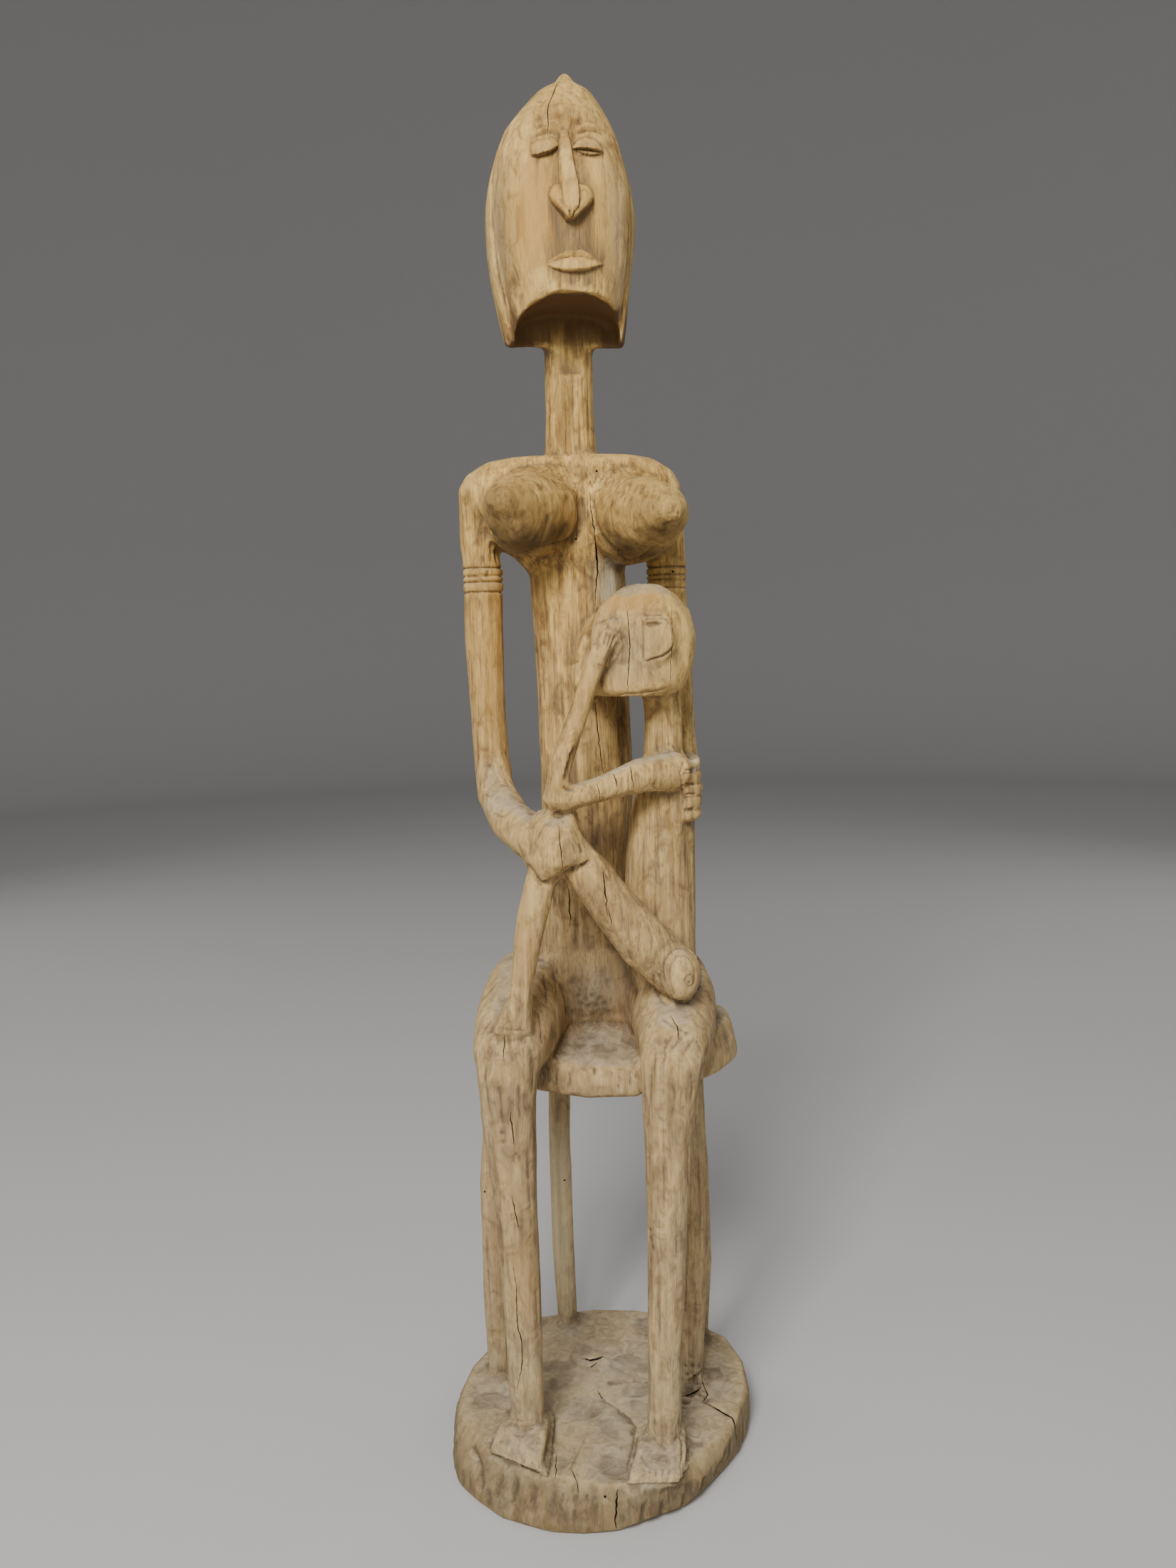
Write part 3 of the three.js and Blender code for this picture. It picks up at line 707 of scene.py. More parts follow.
def carve_legs():
    # an old scar on the left leg and knots on the right one
    for u, v, wide, deep in (
        (911, 1726, 6, 2.2), (912, 1738, 6, 2.4), (914, 1749, 5, 1.6), (704, 1590, 5, 1.4),
        (706, 1603, 4, 1.4), (726, 1626, 5, 1.2),
    ):
        dent(wide, deep, u, v)
    groove(1.8, 0.9, *rounded(725, 1626, 5, 7, count=9), ends=0)
    # the line between her left leg and the stool's leg
    groove(3, 1.8, (966, 1600), (966, 1660), (965, 1720), (963, 1780), (960, 1840), (957, 1900), ends=0.1)
    for line in (
        ((700, 1700), (702, 1740), (706, 1780)), ((740, 1620), (742, 1660), (744, 1700)),
        ((930, 1620), (932, 1660), (931, 1700)), ((948, 1690), (950, 1730), (948, 1770)),
        ((922, 1800), (924, 1840), (926, 1880)), ((752, 1800), (754, 1840), (755, 1880)),
        ((682, 1720), (684, 1770), (687, 1820)), ((980, 1640), (984, 1690), (985, 1740)),
        ((975, 1790), (976, 1830), (975, 1870)),
    ):
        groove(3, 0.9, *line)


def carve_bands():
    # four cuts round each arm leave raised bands between them
    for height in (899.6, 891.5, 885.6, 875.5):
        ring((-125, -20, 860), (-65, 62, 915), height, 2.0, 2.4)
    for height in (895.8, 888.4, 883.2, 875.2):
        ring((60, 8, 860), (122, 72, 910), height, 2.0, 2.2)


def carve_hands():
    for height in (698.6, 686.4, 674.6, 661.4):
        ring((92, -62, 640), (132, 30, 712), height, 2.2, 1.1)
    # the mother's left hand: the back of it and four fingers
    groove(2.6, 1.8, (958, 1060), (955, 1085), (957, 1115), (958, 1140), (963, 1154), ends=0.15)
    for a, b in (
        ((961, 1080), (976, 1080)), ((961, 1100), (977, 1100)), ((961, 1115), (977, 1115)),
        ((961, 1137), (975, 1135)),
    ):
        groove(2, 2.0, a, ((a[0] + b[0]) / 2, (a[1] + b[1]) / 2), b, ends=0.05)
    groove(1.6, 0.9, (965, 1112), (965, 1125), (966, 1142))
    # her right hand: its edge, thumb and the fold beside the knee
    edge = traced([(738, 1212), (748, 1225), (760, 1238), (782, 1230), (806, 1218), (829, 1205)])
    ledge(2.6, 11, -1, *edge)
    groove(3.2, 3.2, *(edge - (0, 0, 1.2)), ends=0.1)
    groove(3.2, 2.0, (814, 1182), (817, 1191), (816, 1200))
    groove(3.4, 2.4, (772, 1143), (786, 1144), (806, 1142))
    for line in (
        ((796, 1175), (804, 1186), (808, 1198)), ((756, 1190), (760, 1206), (762, 1224)),
        ((776, 1196), (777, 1210), (776, 1224)),
    ):
        groove(2.2, 0.7, *line)
    # creases across her right elbow
    for line in (
        ((700, 1103), (710, 1102), (719, 1105)), ((676, 1112), (688, 1117), (700, 1116)),
        ((690, 1140), (704, 1146), (716, 1142)),
    ):
        groove(2.4, 0.9, *line)
    dent(4, 1.6, 686, 1074)


def carve_base():
    rng = np.random.default_rng(21)
    for number in range(26):
        chop(
            number * 0.2417 + rng.normal(0, 0.06), math.radians(rng.normal(0, 4)),
            0.6 + 1.3 * rng.random(),
        )
    for number in range(17):
        chop(
            number * 0.37 + rng.normal(0, 0.1), math.radians(28 + 18 * rng.random()),
            1.5 + 2.5 * rng.random(),
        )
    for number in range(15):
        chop(
            number * 0.42 + rng.normal(0, 0.12), math.radians(-32 - 20 * rng.random()),
            1 + 3 * rng.random(),
        )
    for angle, tilt, cut in (
        (-140, -46, 1), (-36, -16, 4), (-42, -44, 4), (-66, -46, 4), (-40, 26, 5), (-84, -52, 1.5),
        (-108, -50, 1), (-150, 38, 5), (-122, 34, 6), (-108, 38, 5), (-20, 4, 3), (172, -40, 6),
        (110, -34, 7), (60, -38, 5), (85, 30, 4),
    ):
        chop(math.radians(angle), math.radians(tilt), cut)
    groove(7, 5, (655, 2027), (662, 2042), (668, 2056), (672, 2075), (675, 2094), ends=0.1)
    for line in (
        ((700, 2068), (696, 2085), (694, 2104)), ((722, 2072), (718, 2092), (716, 2112)),
        ((748, 2084), (746, 2104), (745, 2128)), ((776, 2092), (774, 2112), (775, 2134)),
        ((808, 2098), (806, 2118), (806, 2140)), ((836, 2102), (835, 2124), (836, 2146)),
        ((905, 2108), (904, 2124), (902, 2138)), ((930, 2104), (931, 2118), (929, 2132)),
        ((960, 2096), (962, 2108), (958, 2120)), ((992, 2072), (990, 2084), (984, 2096)),
        ((1014, 2050), (1012, 2062), (1006, 2076)),
    ):
        groove(5, 2.6, *line)
    # the knot
    dent(13, -2.2, 831, 1903)
    groove(2.6, 3, (818, 1906), (831, 1909), (845, 1904))
    groove(2, 2, (822, 1918), (829, 1917), (838, 1911))
    # a lifted splinter of the top runs to the left foot
    ledge(
        2.4, 14, -1, (838, 1950), (850, 1964), (868, 1975), (884, 1986), (893, 2000), (888, 2030),
        (880, 2062),
    )
    ledge(2.0, 12, 1, (852, 1944), (875, 1941), (900, 1938))
    # the feet are cut out with a clean line
    for line in (
        (
            (703, 1996), (694, 2016), (687, 2037), (710, 2050), (735, 2058), (757, 2068), (768, 2066),
            (774, 2040), (778, 2005), (775, 1980),
        ),
        ((897, 2012), (889, 2040), (882, 2076)), ((957, 2014), (958, 2050), (956, 2082)),
    ):
        ledge(2.0, 7, -1, *line, ends=0.05)
        groove(3, 1.9, *line, ends=0.05)
    # rot at the foot of the front stool leg
    for u, v, wide, deep in (
        (968, 1950, 12, 8), (978, 1936, 8, 5), (962, 1964, 8, 4), (990, 1962, 9, 2.5), (984, 1926, 6, 3),
        (972, 1918, 5, 2),
    ):
        dent(wide, deep, u, v)
    for _ in range(46):
        u, v = 974 + rng.normal(0, 9), 1944 + rng.normal(0, 13)
        dent(2.5 + 2 * rng.random(), rng.choice((-1.6, 1.8, 2.6)), u, v)
    groove(5, 1.8, (985, 1962), (1008, 1978), (1026, 1990))
    # toes
    for u in (904, 912, 921, 930, 939, 948):
        groove(1.8, 0.9, (u, 2058), (u - 1, 2068), (u - 2, 2078))
    for u, v in ((722, 2050), (734, 2054), (746, 2058), (756, 2061)):
        groove(1.8, 0.8, (u, v - 8), (u + 1, v + 1))
    # splits down the side
    for u in (700, 742, 786, 822, 905, 938):
        top = 2108 - abs(u - 850) * 0.12
        groove(1.8, 1.2, (u, top - 14), (u + 2, top + 6), (u - 1, top + 22))


def carve_marks():
    """Tool marks, and the smaller cuts."""
    shave((-160, -160, 46), (160, 160, 1322), 2200, 0.55, 30, 9, 3)
    shave((-160, -160, 40), (160, 160, 60), 50, 0.7, 26, 18, 5)
    shave((-160, -160, 2), (160, 160, 44), 320, 0.9, 18, 7, 7, 0.45)
    shave((-160, -160, 395), (160, 160, 450), 120, 0.6, 18, 12, 6)
    make_face()
    carve_heads()
    carve_chest()
    carve_child()
    carve_bands()
    carve_hands()
    carve_lap()
    carve_legs()
    carve_base()


# Parts of the picture with fine work, as left, top, right and bottom edges and greatest depth
FINE = [
    (722, 165, 872, 425, -20), (800, 816, 985, 985, 0), (950, 1040, 1000, 1165, 60),
    (715, 1080, 840, 1250, 40), (640, 792, 715, 842, 90), (905, 792, 975, 842, 90),
    (680, 1970, 790, 2085, 40), (870, 1990, 970, 2100, 40), (800, 1885, 910, 2000, 60),
    (680, 1395, 775, 1450, 0), (945, 1900, 1000, 1980, 60), (796, 1385, 860, 1430, 60),
    (925, 1330, 990, 1410, 0),
]


def fine_work(spots):
    u, v = pictured(spots)
    fine = np.zeros(len(spots), bool)
    for left, top, right, bottom, depth in FINE:
        fine |= (u > left) & (u < right) & (v > top) & (v < bottom) & (spots[:, 1] < depth)
    return fine


def split_finer(thing):
    """Gives the parts with fine work a finer mesh."""
    fine = fine_work(read(thing) / MM)
    alone(thing)
    bpy.ops.object.mode_set(mode="EDIT")
    bpy.ops.mesh.select_mode(type="VERT")
    bpy.ops.mesh.select_all(action="DESELECT")
    bpy.ops.object.mode_set(mode="OBJECT")
    thing.data.vertices.foreach_set("select", fine)
    bpy.ops.object.mode_set(mode="EDIT")
    bpy.ops.mesh.select_mode(type="FACE")
    bpy.ops.mesh.subdivide(number_cuts=1, smoothness=0)
    bpy.ops.object.mode_set(mode="OBJECT")


def thin_out(thing, fine_faces, all_faces):
    """Spends the mesh's faces where the fine work is."""
    for part, inverted in (("fine", False), ("rest", True)):
        fine = fine_work(read(thing) / MM)
        group = thing.vertex_groups.new(name=part)
        group.add(np.nonzero(fine != inverted)[0].tolist(), 1, "REPLACE")
        sides = np.empty(len(thing.data.polygons), np.int32)
        thing.data.polygons.foreach_get("loop_total", sides)
        count = int((sides - 2).sum())
        wanted = all_faces if inverted else count - int(count * fine.mean()) + fine_faces
        share = min(1, wanted / count)
        finish_with(thing, "DECIMATE", decimate_type="COLLAPSE", ratio=share, vertex_group=part)
        thing.vertex_groups.remove(thing.vertex_groups[part])


carving = rough_out()
cut_chin_arch(carving)
close_fingers(carving)
add_hip(carving)
finish_with(carving, "REMESH", mode="VOXEL", voxel_size=JOINED_VOXEL)
wood = Surface(carving)
carve_forms()
wood.leave()
finish_with(carving, "REMESH", mode="VOXEL", voxel_size=WORKED_VOXEL)
split_finer(carving)
wood = Surface(carving)
carve_marks()
wood.leave()
thin_out(carving, fine_faces=60000, all_faces=186000)


# Cracks and insect holes, cut into the finished surface

def blade(rings):
    """A closed wedge through a row of three cornered rings."""
    pitch = 0.01
    bpy.ops.object.select_all(action="DESELECT")
    bpy.ops.mesh.primitive_circle_add(vertices=3, radius=pitch, fill_type="NGON")
    wedge = bpy.context.object
    bpy.ops.object.mode_set(mode="EDIT")
    bpy.ops.mesh.select_all(action="SELECT")
    for _ in rings[1:]:
        bpy.ops.mesh.extrude_region_move(TRANSFORM_OT_translate={"value": (0, 0, pitch)})
    bpy.ops.object.mode_set(mode="OBJECT")
    spots = read(wedge)
    number = np.rint(spots[:, 2] / pitch).astype(int)
    corner = np.rint(np.arctan2(spots[:, 1], spots[:, 0]) / (2 * math.pi / 3)).astype(int) % 3
    put(wedge, np.array(rings)[number, corner])
    face_outwards(wedge)
    return wedge


def crack(dots, wide, deep):
    """A check in the wood along a line in the picture, widest in the middle."""
    wander, step = 0.5, 5.0
    dots = np.array(dots, float)
    lengths = np.hypot(*np.diff(dots, axis=0).T)
    run = np.concatenate([[0], np.cumsum(lengths)])
    count = max(4, int(run[-1] / step))
    places = np.linspace(0, run[-1], count)
    u, v = np.interp(places, run, dots[:, 0]), np.interp(places, run, dots[:, 1])
    u = u + chance.normal(0, wander, count)
    spots, faces = [], []
    for a, b in zip(u, v):
        hit, spot, face, _ = carving.ray_cast(EYE * MM, sight(a, b))
        if hit:
            spots.append(np.array(spot) / MM)
            faces.append(np.array(face))
    spots, faces = np.array(spots), np.array(faces)
    for _ in range(3):
        faces[1:-1] = faces[:-2] + faces[1:-1] * 2 + faces[2:]
        faces /= np.linalg.norm(faces, axis=1)[:, None]
    way = np.gradient(spots, axis=0)
    side = np.cross(faces, way)
    side /= np.linalg.norm(side, axis=1)[:, None]
    share = np.linspace(0, 1, len(spots))
    open_by = np.clip(np.minimum(share, 1 - share) / 0.3, 0.12, 1) ** 0.6
    half = wide / 2 * open_by * (1 + 0.2 * chance.normal(0, 1, len(spots)).clip(-1, 1))
    depth = deep * open_by
    top = 1.5
    spread = (half * (depth + top) / depth)[:, None]
    mouth = spots + faces * top
    return blade(np.stack(
        [mouth + side * spread, mouth - side * spread, spots - faces * depth[:, None]], 1,
    ))


def hole(u, v, across, deep):
    """An insect's hole."""
    _, spot, face, _ = carving.ray_cast(EYE * MM, sight(u, v))
    bpy.ops.object.select_all(action="DESELECT")
    turn = face.to_track_quat("Z", "Y").to_euler()
    bpy.ops.mesh.primitive_cylinder_add(
        vertices=9, radius=across / 2 * MM, depth=2 * deep * MM, location=spot, rotation=turn,
    )
    drill = bpy.context.object
    alone(drill)
    bpy.ops.object.transform_apply(location=True, rotation=True, scale=True)
    return drill


# Each crack's line in the picture, width and depth
CRACKS = [
    # chest and body
    ([(827, 690), (829, 715), (834, 745), (836, 770), (839, 800), (836, 830), (835, 850)], 1.5, 14),
    ([(834, 980), (839, 1030), (843, 1060), (847, 1090)], 0.9, 8),
    ([(797, 1240), (799, 1270), (800, 1300)], 1.2, 8),
    # the mother's head
    ([(792, 104), (779, 122), (774, 137), (769, 150), (769, 180), (771, 196)], 0.8, 6),
    # the child's head
    ([(879, 850), (882, 880), (884, 905), (882, 940), (880, 975)], 0.8, 6),
    ([(942, 850), (944, 890), (942, 910), (940, 965)], 0.7, 5),
    # the child's arms
    ([(838, 1100), (840, 1111), (842, 1122)], 0.8, 4),
    ([(860, 1085), (864, 1095), (866, 1105)], 0.8, 4),
    ([(884, 1075), (887, 1090), (888, 1105)], 0.8, 4),
    # the child's thigh and the mother's right hand
    ([(846, 1215), (849, 1250), (852, 1285)], 1.2, 8),
    ([(855, 1277), (856, 1288), (857, 1300)], 0.8, 5),
    ([(783, 1155), (785, 1180), (788, 1205), (791, 1226)], 0.7, 5),
    # the mother's right leg
    ([(716, 1560), (719, 1585), (721, 1605)], 1.0, 6),
    ([(719, 1680), (722, 1700), (728, 1722)], 1.0, 6),
    ([
        (720, 1780), (724, 1800), (726, 1860), (731, 1880), (733, 1900), (732, 1920), (727, 1945),
        (725, 1960),
    ], 0.9, 7),
    ([(709, 1450), (707, 1470), (706, 1485)], 0.9, 5),
    # her left thigh
    ([(940, 1425), (950, 1440), (954, 1460)], 0.9, 5),
    # the base
    ([(838, 1950), (841, 1957), (845, 1963), (849, 1966)], 1.0, 5),
    ([(817, 1905), (828, 1909), (838, 1907), (847, 1903)], 1.6, 5),
    ([(824, 1920), (830, 1918), (838, 1911)], 1.1, 4),
    ([(958, 1960), (968, 1956), (978, 1952), (985, 1946)], 2.2, 7),
    ([(984, 1930), (988, 1945), (993, 1958), (986, 1966)], 1.4, 6),
    ([(985, 1965), (1010, 1980), (1028, 1990), (1033, 2010), (1034, 2030)], 1.6, 10),
    ([(866, 2090), (865, 2120), (863, 2150)], 1.6, 10),
    ([(800, 2060), (808, 2075), (812, 2095)], 0.9, 6),
    ([(781, 2040), (780, 2058), (780, 2075)], 0.9, 6),
]
# Insect holes
HOLE_WIDTH, HOLE_DEPTH = 2.4, 7
HOLES = [(837, 661), (808, 756), (944, 802), (849, 2100), (680, 1672), (792, 1656)]


def named_slot(thing, name):
    thing.data.materials.append(bpy.data.materials.new(name))


def split_wood():
    cutters = [crack(*entry) for entry in CRACKS]
    cutters += [hole(u, v, HOLE_WIDTH, HOLE_DEPTH) for u, v in HOLES]
    alone(cutters[0])
    for cutter in cutters:
        cutter.select_set(True)
    bpy.ops.object.join()
    cutter = bpy.context.object
    cutter.data.materials.clear()
    named_slot(cutter, "inside_of_cracks")
    combine(carving, cutter, "DIFFERENCE", material_mode="TRANSFER")


chance = np.random.default_rng(11)
carving.data.materials.clear()
named_slot(carving, "outside")
split_wood()


# What weather, hands and dirt did to the surface, and where shade and light are painted on it, kept as
# values on it

def hollow_at(spots, faces, pairs, times):
    """How far each spot lies below the mean of its surroundings, in millimetres."""
    return ((averaged(spots, pairs, times) - spots) * faces).sum(1)


def sheltered(spots, faces):
    """The share of the sky above each spot that the wood hides from near by."""
    rays, reach, lift = 14, 0.06, 0.6
    tree = BVHTree.FromObject(carving, bpy.context.evaluated_depsgraph_get())
    turns = chance.random((rays, 2))
    ways = np.stack([
        np.sqrt(turns[:, 0]) * np.cos(turns[:, 1] * 2 * math.pi),
        np.sqrt(turns[:, 0]) * np.sin(turns[:, 1] * 2 * math.pi),
        np.sqrt(1 - turns[:, 0]),
    ], 1)
    ways = ways[ways[:, 2] > 0.15]
    helper = np.where(np.abs(faces[:, 2:3]) < 0.9, [[0, 0, 1.0]], [[1.0, 0, 0]])
    first = np.cross(helper, faces)
    first /= np.linalg.norm(first, axis=1)[:, None]
    second = np.cross(faces, first)
    starts = (spots + faces * lift) * MM
    hidden = np.zeros(len(spots))
    for way in ways:
        aims = first * way[0] + second * way[1] + faces * way[2]
        for number, (start, aim) in enumerate(zip(starts.tolist(), aims.tolist())):
            if tree.ray_cast(start, aim, reach)[0] is not None:
                hidden[number] += 1
    return hidden / len(ways)


def keep_value(name, values):
    layer = carving.data.attributes.new(name, "FLOAT", "POINT")
    layer.data.foreach_set("value", np.clip(values, 0, 1).astype(np.float32))


def spread_over(spots, places):
    """How strongly soft patches cover each spot."""
    total = np.zeros(len(spots))
    for u, v, wide, tall, strength in places:
        middle = seen(u, v)
        gap = (spots - middle) / (wide, wide, tall)
        total = np.maximum(total, strength * np.exp(-(gap ** 2).sum(1)))
    return total


# Patches of colour, and of painted shade and light: each a place in the picture, its reach across and up
# in millimetres, and its strength
STAINED = [
    (750, 262, 18, 24, 0.7), (754, 290, 22, 28, 1.0), (744, 325, 16, 28, 0.6), (766, 352, 12, 14, 0.4),
    (845, 320, 18, 30, 0.3), (880, 842, 22, 12, 0.8), (905, 835, 18, 8, 0.6), (730, 1775, 12, 18, 0.8),
    (716, 1620, 12, 30, 0.6), (745, 1800, 14, 40, 0.5), (700, 900, 10, 60, 0.35), (690, 980, 12, 60, 0.4),
    (740, 1330, 10, 30, 0.5), (790, 440, 30, 8, 0.6), (870, 1420, 10, 30, 0.5), (728, 1310, 12, 40, 0.5),
]
# Brown stains, and painted shade in brown under the breasts and in the eye slits
BROWN_STAINS_AND_SHADE = [
    (700, 1560, 24, 40, 0.7), (712, 1610, 18, 26, 0.6), (690, 1500, 14, 24, 0.4),
    (830, 1405, 26, 16, 0.9), (870, 1350, 18, 40, 0.6), (800, 1180, 10, 26, 0.4),
    (845, 1180, 20, 26, 0.7), (815, 1340, 20, 22, 0.5), (968, 1955, 16, 10, 0.9),
    (990, 1950, 12, 12, 0.7), (930, 740, 22, 12, 0.5), (730, 760, 46, 18, 1.0), (700, 755, 22, 10, 0.7),
    (872, 771, 34, 13, 0.9), (772, 766, 26, 8, 0.8), (770, 1420, 12, 30, 0.4), (700, 1380, 12, 30, 0.5),
    (760, 1500, 8, 22, 0.5), (1010, 1440, 14, 18, 0.4), (820, 1530, 40, 8, 0.35), (752, 1128, 12, 8, 0.7),
    (796, 1138, 14, 6, 0.6), (690, 1082, 10, 8, 0.4), (930, 1560, 20, 30, 0.35),
    (950, 1800, 12, 60, 0.35), (752, 292, 18, 28, 0.45), (764, 207, 16, 5, 0.5), (828, 207, 16, 4, 0.5),
    (905, 1720, 6, 16, 0.7),
]
# Pale fresh wood, and painted light on the right cheek
PALE_WOOD_AND_PAINTED_LIGHT = [
    (858, 792, 13, 10, 1.0), (858, 812, 13, 14, 1.0), (854, 834, 11, 12, 0.9), (975, 1066, 3, 8, 1),
    (972, 1080, 6, 2.5, 0.9), (868, 320, 13, 60, 0.3), (870, 400, 12, 30, 0.3), (850, 1960, 90, 14, 0.3),
    (786, 1640, 14, 60, 0.8), (786, 1740, 14, 60, 0.8), (898, 2087, 14, 3, 0.9),
    (915, 2085, 10, 2.5, 0.8), (880, 2090, 8, 2.5, 0.7), (905, 2102, 12, 3, 0.5),
]
GREYED = [
    (700, 1118, 26, 30, 0.9), (688, 1090, 16, 22, 0.7), (840, 820, 10, 14, 0.2), (915, 1480, 34, 34, 0.4),
    (780, 1195, 16, 18, 0.3), (880, 910, 44, 44, 0.5), (700, 330, 16, 60, 0.45),
    (834, 1390, 40, 46, 0.85), (834, 1460, 50, 24, 1.0), (716, 1470, 30, 30, 0.3),
    (930, 1240, 24, 60, 0.35), (850, 1270, 40, 40, 0.35),
]
# Painted shade: under the breasts, on the face's left side, round the child's head and in the lap
PAINTED_SHADE = [
    (698, 705, 36, 26, 0.85), (672, 725, 20, 20, 0.5), (735, 764, 46, 17, 1.0), (698, 742, 26, 18, 1.0),
    (778, 748, 30, 15, 1.0), (880, 770, 42, 15, 1.0), (925, 746, 26, 17, 1.0), (850, 745, 20, 20, 0.8),
    (905, 715, 40, 26, 0.55), (812, 660, 60, 10, 0.45), (706, 320, 14, 60, 0.5), (745, 715, 50, 34, 0.4),
    (890, 715, 60, 36, 0.35), (795, 540, 30, 50, 0.3), (922, 900, 9, 14, 0.35), (860, 945, 18, 12, 0.2),
    (790, 165, 50, 26, 0.2), (850, 1270, 34, 34, 0.25), (935, 1230, 22, 60, 0.25),
    (840, 1395, 36, 42, 0.4),
]


def mark_weather_and_shade():
    spots, faces = read(carving) / MM, read(carving, "normal")
    pairs = edge_pairs(carving)
    small = np.clip(hollow_at(spots, faces, pairs, 3) / 0.4, 0, 1)
    large = np.clip(hollow_at(spots, faces, pairs, 30) / 3.5, 0, 1)
    # painted shade: the share of sky the wood hides at each spot, which darkens it
    occlusion_shade = sheltered(spots, faces)
    occlusion_shade = averaged(occlusion_shade[:, None], pairs, 3)[:, 0]
    # hollow: dirt in the fine cuts, and painted shade in the broad hollows where parts meet
    keep_value("hollow", np.maximum(small, large * 0.8))
    worn = np.clip(-hollow_at(spots, faces, pairs, 6) / 1.2, 0, 1)
    keep_value("worn", averaged(worn[:, None], pairs, 1)[:, 0])
    keep_value("occlusion_shade", occlusion_shade)
    keep_value("stain", spread_over(spots, STAINED))
    # grey: greyer towards the bottom, on faces that look up, and in the listed patches
    flat = np.clip((faces[:, 2] - 0.6) / 0.3, 0, 1)
    low = np.interp(spots[:, 2], (0, 60, 200, 450, 620, 900), (0.72, 0.78, 0.6, 0.52, 0.32, 0))
    tops = flat * 0.9 * (spots[:, 2] < 900)
    keep_value("grey", np.maximum.reduce([tops, low, spread_over(spots, GREYED)]))
    # painted shadow: the head's underside and the neck's top inside the chin's arch, painted dark brown
    under_chin = within(spots, (-74, -80, 1094), (60, 62, 1142))
    under_chin &= (faces[:, 2] < -0.3) | (spots[:, 1] > -44)
    middle = within(spots, (-58, -80, 1090), (44, 62, 1142))
    under_chin &= middle | (faces[:, 2] < -0.5) | (spots[:, 1] > 0)
    under_chin &= (np.hypot(spots[:, 0] + 5, spots[:, 1] - 16) > 29) | (spots[:, 2] > 1109)
    outside = np.hypot((spots[:, 0] + 7) / 64, (spots[:, 1] - 8) / 62) > 0.93
    keep_value("painted_chin_shadow", averaged((under_chin & ~outside)[:, None].astype(float), pairs, 1)[:, 0])
    keep_value("pale", spread_over(spots, PALE_WOOD_AND_PAINTED_LIGHT))
    # brown stains, partly painted shade
    keep_value("brown_stain_and_shade", spread_over(spots, BROWN_STAINS_AND_SHADE))
    # painted shade from those patches, and the base's side darkened all round
    edge = (np.hypot(*spots[:, :2].T) > 112) & (spots[:, 2] < 43) & (np.abs(faces[:, 2]) < 0.75)
    edge = averaged(edge[:, None].astype(float), pairs, 3)[:, 0]
    keep_value("painted_shade_and_base_side", np.maximum(spread_over(spots, PAINTED_SHADE), 0.7 * edge))
    # where the grain shows least: on end grain, the mother's face and breasts, the child's head and
    # the hand on its knee
    still = np.maximum.reduce([
        0.9 * flat,
        0.4 * np.clip((spots[:, 2] - 1100) / 30, 0, 1),
        0.7 * within(spots, (-46, -150, 1140), (56, -30, 1230)),
        0.6 * within(spots, (-2, -140, 748), (112, -8, 872)),
        0.55 * within(spots, (-110, -130, 898), (115, -22, 1000)),
        0.5 * within(spots, (-130, -140, 560), (-30, -30, 690)),
    ])
    keep_value("still", averaged(still[:, None], pairs, 12)[:, 0])
    # crack walls, painted near black as shade
    split = np.empty(len(carving.data.polygons), np.int32)
    carving.data.polygons.foreach_get("material_index", split)
    layer = carving.data.attributes.new("crack", "FLOAT", "FACE")
    layer.data.foreach_set("value", (split > 0).astype(np.float32))


mark_weather_and_shade()


# The wood: bare, dry and matt, with its grain upright all through the log

